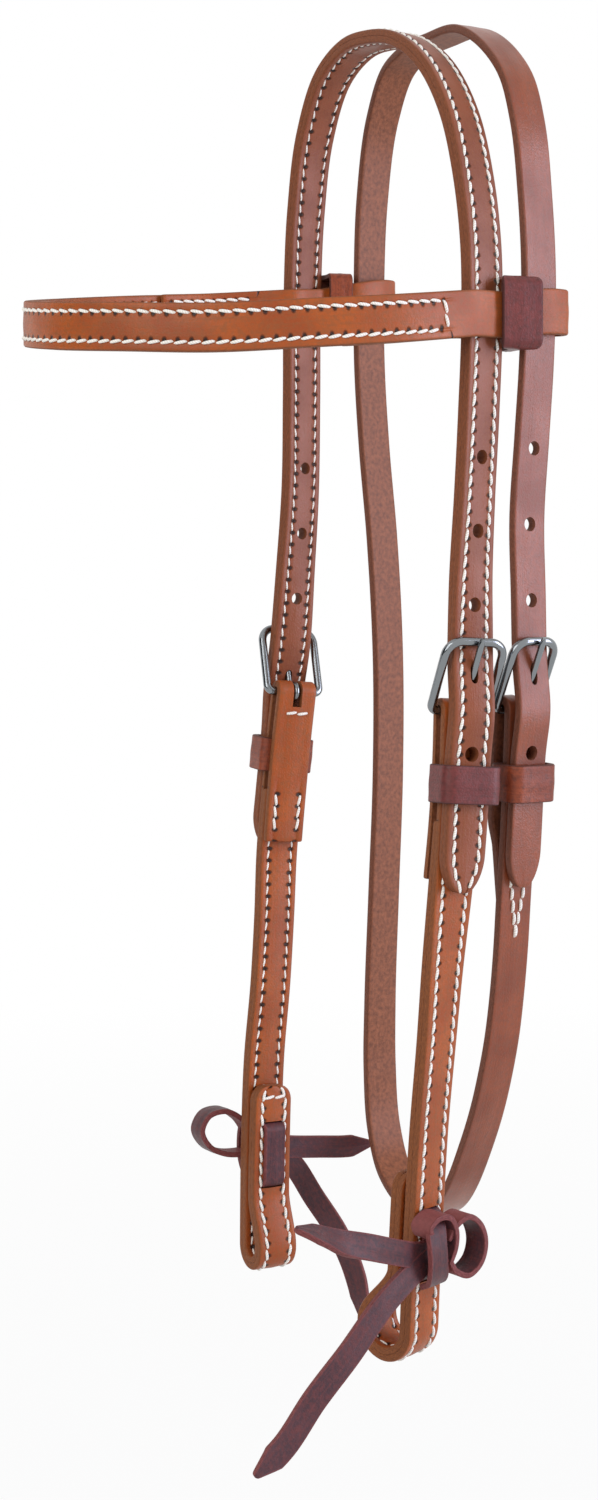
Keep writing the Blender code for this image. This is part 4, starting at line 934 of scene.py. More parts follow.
def tube(name, centre, radius, sideways, look, body, slot_name, sides, closed=False):
    """A round section carried along a line.

    point(i, k) = centre_i + radius_i (cos a_k side_i + sin a_k out_i)."""
    if closed:
        run = unit(np.roll(centre, -1, axis=0) - np.roll(centre, 1, axis=0))
    else:
        run = unit(np.gradient(centre, axis=0))
    side = unit(sideways - (sideways * run).sum(1, keepdims=True) * run)
    out = np.cross(run, side)
    angle = np.linspace(0, 2 * np.pi, sides, endpoint=False)[None, :, None]
    spokes = np.cos(angle) * side[:, None] + np.sin(angle) * out[:, None]
    points = centre[:, None] + np.broadcast_to(radius, len(centre))[:, None, None] * spokes
    along = lengths_along(np.vstack([centre, centre[:1]]))

    def maps(i, k):
        """Distance along the rod and share of the way round it."""
        return {"UVMap": np.stack([along[i], k / sides], axis=1)}

    return carried(name, points, closed, ROD_ORDER, maps, look, body)


# %% [markdown]
# ## Punched holes
# A billet's holes are punched from the grain side, so each is a little wider there and its
# rim is pressed down.  The cutter is a turned shape that flares at both mouths.  Boolean
# modifiers cut a strap's holes one cutter after another, and the result is kept as plain mesh.

# %% Hole cutters
HOLE_MOUTH = 0.2 * MM
HOLE_TAPER = 0.04
CUTTER_OVERRUN = 1.5 * MM
HOLE_SIDES = 28
TONGUE_SWING = math.radians(5)


def turned_cutter(place, axis, sideways, radius, half_depth):
    """A turned solid whose radius at height h is radius (1 + taper h) + mouth flare(h)^2."""
    height = np.concatenate([[-1], np.linspace(-1, 1, 9), [1]]) * half_depth
    height[0] -= CUTTER_OVERRUN
    height[-1] += CUTTER_OVERRUN
    flare = np.clip((np.abs(height) - half_depth + HOLE_MOUTH * 2) / (HOLE_MOUTH * 2), 0, 1.5)
    radii = radius * (1 + HOLE_TAPER * np.clip(height / half_depth, -1, 1)) + HOLE_MOUTH * flare**2
    angle = np.linspace(0, 2 * np.pi, HOLE_SIDES, endpoint=False)
    other = np.cross(axis, sideways)
    spokes = np.cos(angle)[:, None] * sideways + np.sin(angle)[:, None] * other
    points = place + height[:, None, None] * axis + radii[:, None, None] * spokes
    i, k = np.meshgrid(np.arange(len(height) - 1), np.arange(HOLE_SIDES), indexing="ij")
    n = (k + 1) % HOLE_SIDES
    base, above = i * HOLE_SIDES, (i + 1) * HOLE_SIDES
    walls = np.stack([base + k, base + n, above + n, above + k], axis=-1).reshape(-1, 4).tolist()
    last = (len(height) - 1) * HOLE_SIDES
    caps = [list(range(HOLE_SIDES))[::-1], list(range(last, last + HOLE_SIDES))]
    return points.reshape(-1, 3), walls + caps


# %% Channels and slots
def channel_cutter(runs, radius, sides=16):
    """One closed cutter that holds a rod in each of its places: the convex hull of their end rings."""
    work = bmesh.new()
    for start, end in runs:
        turn = Vector(end - start).to_track_quat("Z", "Y")
        for middle in (start, end):
            for angle in np.linspace(0, 2 * math.pi, sides, endpoint=False):
                spoke = Vector((math.cos(angle), math.sin(angle), 0))
                work.verts.new(Vector(middle) + turn @ spoke * radius)
    hull = bmesh.ops.convex_hull(work, input=work.verts)
    inside = [item for item in hull["geom_interior"] if isinstance(item, bmesh.types.BMVert)]
    bmesh.ops.delete(work, geom=inside, context="VERTS")
    bmesh.ops.recalc_face_normals(work, faces=work.faces)
    points = np.array([vertex.co[:] for vertex in work.verts])
    work.verts.index_update()
    faces = [[vertex.index for vertex in face.verts] for face in work.faces]
    work.free()
    return points, faces


def box_cutter(place, axes, sizes):
    """A box with its own axes, a loose fit for a thong or a tongue."""
    corner = np.array([(x, y, z) for x in (-1, 1) for y in (-1, 1) for z in (-1, 1)]) / 2
    points = place + (corner * sizes) @ np.stack(axes)
    faces = [[0, 1, 3, 2], [4, 6, 7, 5], [0, 4, 5, 1], [2, 3, 7, 6], [0, 2, 6, 4], [1, 5, 7, 3]]
    if np.linalg.det(np.stack(axes)) < 0:
        faces = [face[::-1] for face in faces]
    return points, faces


# %% Cutting
def carve(piece, cutters):
    """Cut every cutter out of the piece and keep the result; the cut walls read as raw cut edge."""
    for points, faces in cutters:
        mesh = bpy.data.meshes.new("cutter")
        mesh.from_pydata(np.asarray(points).tolist(), [], faces)
        for label, value in {**END_MAPS, "Seam": (1.0, NO_SEAM)}.items():
            layer = mesh.uv_layers.new(name=label)
            layer.data.foreach_set("uv", np.tile(value, len(mesh.loops)))
        cutter = add_object("cutter", mesh)
        cut = piece.modifiers.new("cut", "BOOLEAN")
        cut.object = cutter
        cut.solver = "EXACT"
        bpy.context.view_layer.update()
        whole = piece.evaluated_get(bpy.context.evaluated_depsgraph_get())
        carved = bpy.data.meshes.new_from_object(whole)
        piece.modifiers.clear()
        piece.data = carved
        bpy.data.objects.remove(cutter)
    piece.data.shade_smooth()
    piece.data.set_sharp_from_angle(angle=SHARP_ANGLE)
    print(piece.name, "carved", len(cutters), "times,", len(piece.data.polygons), "faces")


def billet_cutters(buckled):
    """The free holes of one billet, and the channel that its tongue leans through."""
    runs = []
    for angle in (0, TONGUE_SWING):
        turn = np.array(Matrix.Rotation(angle, 3, Vector(np.cross(buckled.up, buckled.face))))
        start = buckled.bar_place + turn @ (buckled.face + buckled.up) * EYE_RADIUS
        runs.append((start, start + turn @ buckled.up * BUCKLE_LENGTH))
    cutters = [channel_cutter(runs, TONGUE_WIRE / 2 + TONGUE_ROOM)]
    radius, line = HOLE_DIAMETER / 2 - HOLE_MOUTH, buckled.line
    for count in range(-HOLES_ABOVE_TONGUE, HOLES_BELOW_TONGUE + 1):
        if count:
            along = buckled.below(count * buckled.pitch - buckled.hole_rise)
            spot = line.place(along), line.outward(along), line.wide(along)
            cutters.append(turned_cutter(*spot, radius, buckled.billet / 2))
    return cutters


# %% [markdown]
# ## Crown
# The crown runs from one billet's tip over the poll to the other's: a russet ply outside and a
# lining inside, sewn along both edges.  The stitch rows follow the edges and meet at each tip.

# %% Crown plies
TIP_STITCH_MARGIN = 2.4 * MM
END_STITCH_MARGIN = 2 * MM
CROSS_ROW_POINTS = 12
PATH_POINTS = 1500
BILLET_TIP = (TIP_LENGTH, TIP_BLUNT, TIP_ROUNDNESS)


def sewn_rows(name, strip, body, margin, pull=FACE_PULL):
    """Both stitch rows of each of a ply's seams, on its outer face."""
    for count, (begin, finish) in enumerate(strip.seams):
        for label, side in (("front", -1), ("rear", 1)):
            path = strip.row(side, SEAM_INSET, STITCHED.top - GROOVE_DEPTH)
            scale = lengths_along(path)[-1] / strip.along[-1]
            title = f"{name}_{label}_stitches" + ("" if count == 0 else f"_{count + 1}")
            ends = (begin + margin) * scale, (finish - margin) * scale
            stitch_row(title, path, strip.normal, body, *ends, side, pull)


def cross_row(name, strip, body, along):
    """A short stitch row from one edge's seam to the other's."""
    seams = [strip.row(side, SEAM_INSET, STITCHED.top) for side in (-1, 1)]
    path = np.linspace(*(read_rows(seam, strip.along, [along])[0] for seam in seams), CROSS_ROW_POINTS)
    normal = read_rows(strip.normal, strip.along, [along] * CROSS_ROW_POINTS)
    stitch_row(name, path, normal, body)


def lane(centre, across):
    """Rows of a strap's line: its middle, and its width direction, which may be the same all along."""
    return np.hstack([centre, np.broadcast_to(across, centre.shape)])


def crown():
    """Both plies, lifted over the two bars, each with its holes and its rows of stitches."""
    dense = np.linspace(FAR.tip, NEAR.tip, PATH_POINTS)
    rise = lift(dense, NEAR.bar) + lift(dense, FAR.bar)
    length = NEAR.tip - FAR.tip
    zones = [(0, TIP_LENGTH, TIP_STEP), (length - TIP_LENGTH, length, TIP_STEP)]
    holes = billet_cutters(NEAR) + billet_cutters(FAR)
    for name, side in (("crown_outer_ply", 1), ("crown_lining_ply", -1)):
        rows = lane(SIDE.place(dense, side * PLY_SHIFT + rise), SIDE.wide(dense))
        strip = Strip(rows, STRAP_WIDTH, side, zones, BILLET_TIP, BILLET_TIP)
        piece = strap("dressed_" + name, strip, STITCHED, CROWN_LEATHER, "headstall")
        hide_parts(name)
        carve(piece, holes)
        pull = FACE_PULL if side > 0 else BACK_PULL
        sewn_rows(name, strip, "headstall", TIP_STITCH_MARGIN, pull)


crown()


# %% [markdown]
# ## Throat strap
# One single ply goes all the way round: the billet, over the poll, under the throat and up to
# its buckle, where it folds round the bar and is sewn back with a long point.

# %% Paths in a line's own plane
def straight(start, end, count=60):
    """Evenly spaced points between two."""
    return np.linspace(start, end, count)


def arc(centre, radius, start, end, count=40):
    """Points of an arc, its angles in degrees."""
    angles = np.radians(np.linspace(start, end, count))
    return np.stack([centre[0] + radius * np.cos(angles), centre[1] + radius * np.sin(angles)], axis=1)


def chape_path(buckled, length):
    """From the turned-back end up the inner side and round the bar to the outer strand."""
    back = buckled.bar_out - buckled.fold
    inner = straight((buckled.below(length), back), (buckled.bar, back))
    bend = arc((buckled.bar, buckled.bar_out), buckled.fold, -90, -90 - 180 * buckled.down)
    return np.vstack([inner[:-1], bend])


def shifted(path, shift):
    """A path stepped sideways, to its left."""
    run = unit(np.gradient(path, lengths_along(np.pad(path, ((0, 0), (0, 1)))), axis=0))
    return path + shift * np.stack([-run[:, 1], run[:, 0]], axis=1)


def drawn(line, path):
    """World rows of a path of (distance along, step outwards): the strap's middle and width."""
    return lane(line.place(path[:, 0], path[:, 1]), line.wide(path[:, 0]))


TONGUE_SLOT_REACH = 5.4 * MM
TONGUE_SLOT_ROOM = 0.7 * MM
CUT_THROUGH = 4 * MM


def tongue_slot(buckled):
    """The opening in the fold of a chape for the tongue's eye."""
    width = TONGUE_WIRE + 2 * TONGUE_SLOT_ROOM
    depth = 2 * buckled.fold + buckled.ply + CUT_THROUGH
    height = TONGUE_SLOT_REACH + buckled.fold + buckled.ply
    middle = buckled.bar_place + buckled.rise * (height / 2 - TONGUE_SLOT_REACH)
    axes = buckled.bar_axis, buckled.outward, buckled.rise
    return box_cutter(middle, axes, (width, depth, height))


# %% Throat strap
POINT_STITCH_START = 4 * MM
POINT_STITCH_LENGTH = 46 * MM
POINT_STITCH_INSET = 2.2 * MM
THROAT_ROUND = 0.8 * MM
SLIGHT_CROWNING = 0.1 * MM


def plain_section(thickness, width, round_off, crowning=SLIGHT_CROWNING):
    """The section of one ply without a stitch groove."""
    return Section(thickness / 2, thickness / 2, width, (round_off, round_off), (0, 0), crowning)


SINGLE = plain_section(THROAT_PLY, THROAT_WIDTH, THROAT_ROUND)


def throat_rows():
    """The throat strap's middle line: billet, poll, throat and chape."""
    line, buckled = THROAT, THROAT_END
    billet = straight((buckled.tip, 0), (0, 0), 1200)
    billet[:, 1] = lift(billet[:, 0], buckled.bar)
    full = line.along[-1]
    rising = straight((full, 0), (buckled.bar, 0), 400)
    rising[:, 1] = buckled.strand * ease((full - rising[:, 0]) / THROAT_STEP_LENGTH)
    chape = chape_path(buckled, THROAT_CHAPE_LENGTH)[::-1]
    closing = ease((chape[:, 0] - buckled.below(KEEPER_POCKET)) / THROAT_CLOSE_LENGTH)
    inner = chape[:, 1] < buckled.bar_out
    chape[inner, 1] += closing[inner] * (POCKET - SEAM_GAP)
    return np.vstack([drawn(line, billet)[:-1], drawn(line, rising)[:-1], drawn(line, chape)])


def throat_strap():
    """The whole strap with its holes, and the two rows that meet in the chape's point."""
    rows = throat_rows()
    length = lengths_along(rows)[-1]
    point = (THROAT_CHAPE_POINT, TIP_BLUNT, 1)
    zones = [(0, TIP_LENGTH, TIP_STEP), (length - THROAT_CHAPE_POINT, length, POINT_STEP)]
    strip = Strip(rows, THROAT_WIDTH, -1, zones, BILLET_TIP, point)
    piece = strap("dressed_throat_strap", strip, SINGLE, THROAT_LEATHER, "headstall")
    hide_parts("throat_strap")
    carve(piece, [tongue_slot(THROAT_END)] + billet_cutters(THROAT_END))
    back = np.linspace(POINT_STITCH_START, POINT_STITCH_LENGTH, 40)
    along = THROAT_END.below(THROAT_CHAPE_LENGTH - back)
    width = end_widths(back, THROAT_WIDTH, point)
    normal = THROAT.outward(along)
    face = THROAT_END.strand + THROAT_PLY / 2
    for label, side in (("front", -1), ("rear", 1)):
        path = THROAT.place(along, face, side * (width / 2 - POINT_STITCH_INSET))
        stitch_row(f"throat_chape_{label}_stitches", path, normal, "headstall", slant=side)


throat_strap()


# %% [markdown]
# ## Cheeks
# A cheek's outer ply starts as the chape, folds round the buckle bar, runs down the outside,
# makes the bit loop and comes back up inside.  A lining is sewn to it all the way.

# %% Cheek paths and slots
SLOT_ROOM = 0.5 * MM
BAR_STITCH_DROP = 8.5 * MM
FOLD_STITCH_DROP = 4.2 * MM
BIT_LOOPS = {
    "near_cheek": (NEAR_LOOP_RADIUS, NEAR_LOOP_LIFT, NEAR_FOLD_RETURN, NEAR_KNOT_ABOVE_BEND),
    "far_cheek": (FAR_LOOP_RADIUS, FAR_LOOP_LIFT, FAR_FOLD_RETURN, FAR_KNOT_ABOVE_BEND),
}


def bit_loop_path(buckled):
    """The middle of a cheek's two plies: down the outside, round the bit loop and back up inside.

    Also gives where the bend starts along the line, and the steps out before and after it."""
    down = buckled.down
    middle = buckled.strand - PLY_SHIFT
    radius, loop_lift, fold_return = BIT_LOOPS[buckled.name][:3]
    bend_along = SIDE.at_height(-(DROP - loop_lift - radius - DOUBLED / 2), down > 0)
    returned = middle - DOUBLED - FOLD_GAP
    outside = straight((buckled.bar, middle), (bend_along, middle), 200)
    bend = arc((bend_along, middle - radius), radius, 90, 90 - 180 * down)
    back = straight((bend_along, 0), (bend_along - down * fold_return, 0), 100)
    closed = ease(np.abs(back[:, 0] - bend_along) / BIT_LOOP_NECK)
    bulge = middle - 2 * radius
    back[:, 1] = bulge + closed * (returned - bulge)
    return np.vstack([outside[:-1], bend[:-1], back]), bend_along, middle, returned


def tie_slots(knot, stack):
    """The two slots that a thong goes through, from one step out to another."""
    slots = []
    sizes = (THONG_WIDTH + 2 * SLOT_ROOM, stack[0] - stack[1] + CUT_THROUGH, THONG + 2 * SLOT_ROOM)
    for step in (-1, 1):
        place = knot + step * SLOT_SPACING / 2
        wide, out = SIDE.wide(place), SIDE.outward(place)
        slots.append(box_cutter(SIDE.place(place, sum(stack) / 2), (wide, out, np.cross(wide, out)), sizes))
    return slots


# %% Cheek surfaces
def cheek_ply(name, rows, face, seams, cutters, pull):
    """One ply with a rounded end, its holes and its rows of stitches."""
    total = lengths_along(rows)[-1]
    zones = [(total - FOLD_ROUND, total, TIP_STEP)]
    strip = Strip(rows, STRAP_WIDTH, face, zones, end=(FOLD_ROUND, FOLD_ROUND, 2), seams=seams)
    piece = strap("dressed_" + name, strip, STITCHED, HARNESS, "headstall")
    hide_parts(name)
    carve(piece, cutters)
    sewn_rows(name, strip, "headstall", END_STITCH_MARGIN, pull)
    return strip


def cheek(buckled):
    """Both plies of a cheek; gives where its knot lies along the line and between which steps out."""
    name, down = buckled.name, buckled.down
    path, bend_along, middle, returned = bit_loop_path(buckled)
    knot = bend_along - down * BIT_LOOPS[name][3]
    stack = (middle + DOUBLED / 2, returned - DOUBLED / 2)
    slots = tie_slots(knot, stack)
    chape = drawn(SIDE, chape_path(buckled, CHAPE_LENGTH))
    outer = np.vstack([chape[:-1], drawn(SIDE, shifted(path, down * PLY_SHIFT))])
    total = lengths_along(outer)[-1]
    begin = lengths_along(chape)[-1] + KEEPER_POCKET
    seams = [(0, CHAPE_LENGTH - KEEPER_POCKET), (begin, total)]
    cutters = [tongue_slot(buckled)] + slots
    strip = cheek_ply(name + "_outer_ply", outer, down, seams, cutters, FACE_PULL)
    for label, place in (
        ("chape_bar", CHAPE_LENGTH - BAR_STITCH_DROP),
        ("cheek_bar", begin - KEEPER_POCKET + BAR_STITCH_DROP),
        ("fold_end", total - FOLD_STITCH_DROP),
    ):
        cross_row(f"{name}_{label}_stitches", strip, "headstall", place)
    lining = shifted(path, -down * PLY_SHIFT)
    lining = drawn(SIDE, lining[np.abs(lining[:, 0] - buckled.bar) > KEEPER_POCKET])
    cheek_ply(name + "_lining_ply", lining, -down, None, slots, BACK_PULL)
    return knot, stack


KNOTS = {buckled.name: cheek(buckled) for buckled in (NEAR, FAR)}
print("knots at", {name: round(knot, 4) for name, (knot, _) in KNOTS.items()}, "m along the side line")


# %% [markdown]
# ## Browband
# The front is two plies sewn along both edges.  At each end the outer ply goes on alone, loops
# round the crown and throat straps and comes back to be caught between the rows of stitches.

# %% Browband loops
REAR_SHARE = 0.9
LEAD_POINTS = 6


def cut_between(line, start, end):
    """The stretch of a dense line between the stations nearest to two places."""
    first = np.argmin(np.linalg.norm(line - start, axis=1))
    last = np.argmin(np.linalg.norm(line - end, axis=1))
    return line[first : last + 1]


def brow_loop(name, near):
    """One loop's points, front to rear outside, round the throat strap, and back inside."""
    crown_step = DOUBLED / 2 + LOOP_ROOM + PLY / 2
    throat_step = THROAT_PLY / 2 + LOOP_ROOM + PLY / 2
    front, crown_height, throat_height, rear = np.array(BROW_LOOP_SHARES[name]) * BROW_DROP
    at = SIDE.at_height(crown_height, near)
    middle, wide, out = SIDE.place(at), SIDE.wide(at), SIDE.outward(at)
    at = THROAT.at_height(throat_height, near)
    throat_middle, throat_wide, throat_out = THROAT.place(at), THROAT.wide(at), THROAT.outward(at)
    half, throat_half = wide * STRAP_WIDTH / 2, throat_wide * THROAT_WIDTH / 2
    outer, inner = (
        [
            middle + out * side * crown_step - half,
            middle + out * side * crown_step + half,
            throat_middle + throat_out * side * throat_step - throat_half,
            throat_middle + throat_out * side * throat_step + throat_half * REAR_SHARE,
        ]
        for side in (1, -1)
    )
    angle = np.radians([30, 60, 90, 120, 150])[:, None]
    spokes = throat_out * np.cos(angle) + throat_wide * np.sin(angle)
    turn = throat_middle + throat_half + throat_step * spokes
    points = np.vstack([outer, turn, inner[::-1]])
    heights = [front, crown_height, throat_height, rear]
    points[:, 2] = heights + [rear] * 5 + heights[::-1]
    return points, out


# %% Browband surfaces
def browband():
    """Both plies and their rows of stitches; gives each loop's points for the wraps."""
    loops = {name: brow_loop(name, near) for name, near in (("near", True), ("far", False))}
    near_points, far_points = loops["near"][0], loops["far"][0]
    scale = np.array([HALF_SPREAD, BROW_REACH, BROW_DROP])
    front_points = np.vstack([near_points[:1], np.array(BROW_SHARES) * scale, far_points[:1]])
    front_line = smooth(front_points)
    along = lengths_along(front_line)
    total = along[-1]
    outward = unit(np.cross(UP, unit(np.gradient(front_line, along, axis=0))))

    def layer(count, start, end):
        """The front line stepped inwards by some plies, between two distances."""
        wanted = np.linspace(start, end, max(8, int((end - start) / MM)))
        return read_rows(front_line - outward * count * (PLY + SEAM_GAP), along, wanted)

    near_back = layer(2, LOOP_LEAD, LOOP_LEAD + TURN_BACK)[::-1]
    far_back = layer(2, total - LOOP_LEAD - TURN_BACK, total - LOOP_LEAD)[::-1]
    near_lead, far_lead = near_back[-LEAD_POINTS:][:2], far_back[:LEAD_POINTS][-2:]
    near_loop = smooth(np.vstack([near_lead, near_points[::-1], front_points[1:2]]))
    far_loop = smooth(np.vstack([front_points[-2:-1], far_points, far_lead]))
    near_loop = cut_between(near_loop, near_lead[0], near_points[0])
    far_loop = cut_between(far_loop, far_points[0], far_lead[1])
    begun = np.vstack([near_back[:-LEAD_POINTS], near_loop])
    rest = layer(0, 0, total)[:-1], far_loop[:-1], far_back[LEAD_POINTS:]
    centre = np.vstack([begun[:-1], *rest])
    begin = lengths_along(begun)[-1]
    whole = lengths_along(centre)[-1]
    sewn = begin + LOOP_LEAD, begin + total - LOOP_LEAD
    seams = [sewn, (0, TURN_BACK), (whole - TURN_BACK, whole)]
    strip = Strip(lane(centre, UP), STRAP_WIDTH, -1, seams=seams)
    piece = strap("dressed_browband_outer_ply", strip, STITCHED, HARNESS, "browband")
    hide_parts("browband_outer_ply")
    sewn_rows("browband_outer_ply", strip, "browband", END_STITCH_MARGIN)
    for label, place in (("near", sewn[0] + END_STITCH_MARGIN), ("far", sewn[1] - END_STITCH_MARGIN)):
        cross_row(f"browband_{label}_end_stitches", strip, "browband", place)
    centre = layer(1, LOOP_LEAD, total - LOOP_LEAD)
    seams = [(TURN_BACK, total - 2 * LOOP_LEAD - TURN_BACK)]
    strip = Strip(lane(centre, UP), STRAP_WIDTH, 1, seams=seams)
    piece = strap("dressed_browband_lining_ply", strip, STITCHED, HARNESS, "browband")
    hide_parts("browband_lining_ply")
    sewn_rows("browband_lining_ply", strip, "browband", END_STITCH_MARGIN, BACK_PULL)
    print(f"browband front {total / MM:.0f} mm, whole outer ply {whole / MM:.0f} mm")
    return loops


LOOPS = browband()


# %% [markdown]
# ## Wraps and keepers
# A keeper is a short strip closed into a loop round billet and cheek.  A wrap is a wider strip
# that cinches both strands of a browband loop between the crown and the throat strap.

# %% Closed loops
LOOP_ROUND = 0.6 * MM
KEEPER_CROWNING = 0.15 * MM
KEEPER_SECTION = plain_section(KEEPER_LEATHER, KEEPER_HEIGHT, LOOP_ROUND, KEEPER_CROWNING)
WRAP_SECTION = plain_section(WRAP_LEATHER, WRAP_WIDTH, LOOP_ROUND)


def rounded_loop(half, low, high, low_radius, high_radius, per_corner=9, per_side=7):
    """A closed outline with straight sides and a quarter circle at each corner."""
    corners = (
        (half - low_radius, low + low_radius, low_radius, -90),
        (half - high_radius, high - high_radius, high_radius, 0),
        (high_radius - half, high - high_radius, high_radius, 90),
        (low_radius - half, low + low_radius, low_radius, 180),
    )
    turns = [arc(corner[:2], corner[2], corner[3], corner[3] + 90, per_corner) for corner in corners]
    sides = [np.linspace(turns[n][-1], turns[(n + 1) % 4][0], per_side)[1:-1] for n in range(4)]
    return np.vstack([part for pair in zip(turns, sides) for part in pair])


# %% Keepers and wraps
def keeper(buckled, body, finish):
    """A loop round billet and chape, a set distance under the bar."""
    along = buckled.below(KEEPER_DROP)
    half = buckled.width / 2 + KEEPER_SIDE_ROOM + KEEPER_LEATHER / 2
    outer = buckled.billet / 2 + KEEPER_SLACK + KEEPER_LEATHER / 2
    ring = rounded_loop(half, buckled.bar_out, outer, KEEPER_LEATHER / 2 + SEAM_GAP, KEEPER_CORNER)
    centre = buckled.line.place(np.full(len(ring), along), ring[:, 1], ring[:, 0])
    ends = buckled.line.place(np.array([along + KEEPER_HEIGHT, along - KEEPER_HEIGHT]))
    rows = lane(centre, unit(ends[0] - ends[1]))
    strip = Strip(rows, KEEPER_HEIGHT, outward_face(rows), closed=True)
    piece = strap(f"dressed_{buckled.name}_keeper", strip, KEEPER_SECTION, finish, body)
    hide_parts(buckled.name + "_keeper")


def outward_face(rows):
    """Which way round a closed loop's grain side faces out: the sign of its normals' spread."""
    centre, across = rows[:, :3], rows[:, 3:]
    run = np.roll(centre, -1, axis=0) - np.roll(centre, 1, axis=0)
    return float(np.sign((np.cross(run, across) * (centre - centre.mean(0))).sum()))


def wrap(name, finish):
    """A strip round both strands of a browband loop, narrower inside, where there is less room."""
    loop, out = LOOPS[name]
    outer_run, inner_run = loop[2] - loop[1], loop[-3] - loop[-2]
    wide = unit((outer_run + inner_run) * [1, 1, 0])
    outward = np.cross(wide, UP) * np.sign(np.dot(np.cross(wide, UP), out))
    middle = (loop[1] + loop[2] + loop[-3] + loop[-2]) / 4
    crown_edge = max(np.dot(loop[1], wide), np.dot(loop[-2], wide))
    throat_edge = min(np.dot(loop[2], wide), np.dot(loop[-3], wide))
    middle = middle + wide * ((crown_edge + throat_edge) / 2 - np.dot(middle, wide))
    waist = min(WRAP_WIDTH, throat_edge - crown_edge - 2 * WAIST_ROOM)
    places = np.stack([(loop - middle) @ wide, (loop - middle) @ outward], axis=1)
    face_span = np.linspace(-WRAP_WIDTH / 2, WRAP_WIDTH / 2, 5)
    waist_span = np.linspace(-waist / 2, waist / 2, 3)
    clear = PLY / 2 + WRAP_ROOM + WRAP_LEATHER / 2
    high = np.interp(face_span, *places[:4].T).max() + clear
    low = np.interp(waist_span, *places[-4:][::-1].T).min() - clear
    half = STRAP_WIDTH / 2 + WRAP_STAND + WRAP_LEATHER / 2
    ring = rounded_loop(half, low, high, WRAP_STAND, WRAP_STAND)
    centre = middle + ring[:, :1] * UP + ring[:, 1:] * outward
    widths = waist + (WRAP_WIDTH - waist) * ease((ring[:, 1] - low) / (high - low) * 2 - 1)
    rows = lane(centre, wide)
    strip = Strip(rows, widths, outward_face(rows), closed=True)
    piece = strap(f"dressed_{name}_browband_wrap", strip, WRAP_SECTION, finish, "browband")
    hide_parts(f"{name}_browband_wrap")


KEEPER_LEATHERS = ((NEAR, "near", LATIGO), (FAR, "far", RED_LATIGO), (THROAT_END, "throat", RED_LATIGO))
for buckled, side, finish in KEEPER_LEATHERS:
    keeper(buckled, f"{side}_keeper", finish)
wrap("near", LATIGO)
wrap("far", RED_LATIGO)
print(f"keepers {KEEPER_HEIGHT / MM:.0f} mm and wraps up to {WRAP_WIDTH / MM:.0f} mm wide")


# %% [markdown]
# ## Buckles
# Each frame is one wire bent into a loop and welded, and the tongue is a thinner wire rolled
# round the bar.  Both are a round section carried along a bent line.

# %% Buckle frames and tongues
FRAME_SIDES = 20
TONGUE_SIDES = 16
TONGUE_TIP = [0.97, 0.85, 0.55]


def buckle(buckled, frame_body, tongue_body):
    """The frame's rounded loop, and the tongue: three quarters of a turn round the bar, then a pin."""
    half = buckled.width / 2 + buckled.side_room + WIRE / 2
    loop = rounded_loop(half, 0, BUCKLE_LENGTH, BUCKLE_BAR_CORNER, BUCKLE_TOP_CORNER, 13, 9)
    centre = buckled.world(np.pad(loop, ((0, 0), (0, 1))))
    out = buckled.face[None]
    name = f"{buckled.name}_buckle_frame"
    wire = WIRE / 2, out, STEEL, frame_body, "steel", FRAME_SIDES
    piece = tube("dressed_" + name, centre, *wire, closed=True)
    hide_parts(name)
    angle = np.radians(np.linspace(0, 270, 28))
    eye = np.stack([0 * angle, EYE_RADIUS * np.cos(angle), -EYE_RADIUS * np.sin(angle)], axis=1)
    reach = np.linspace(0, BUCKLE_LENGTH + WIRE / 2 + TONGUE_OVERHANG, 24)[1:]
    pin = np.stack([0 * reach, reach, 0 * reach + EYE_RADIUS], axis=1)
    centre = buckled.world(np.vstack([eye, pin]))
    sideways = np.cross(buckled.up, buckled.face)[None]
    radius = TONGUE_WIRE / 2 * np.ones(len(centre))
    radius[-3:] *= TONGUE_TIP
    name = f"{buckled.name}_buckle_tongue"
    wire = radius, sideways, STEEL, tongue_body, "steel", TONGUE_SIDES
    piece = tube("dressed_" + name, centre, *wire)
    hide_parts(name)


for buckled, side in ((NEAR, "near"), (FAR, "far"), (THROAT_END, "throat")):
    buckle(buckled, f"{side}_buckle", f"{side}_tongue")
    lean = math.degrees(math.asin(buckled.up @ buckled.outward))
    print(f"{side} frame and tongue lean {lean:.1f} degrees")


# %% [markdown]
# ## Bit loop ties
# A flat thong goes through both slots of a bit loop and is tied in a half bow outside.  The
# thong is stiff latigo, so it is a strap with its own bends rather than a hanging cord.

# %% Ties
THONG_ROUND = 0.35 * MM
THONG_SECTION = plain_section(THONG, THONG_WIDTH, THONG_ROUND)


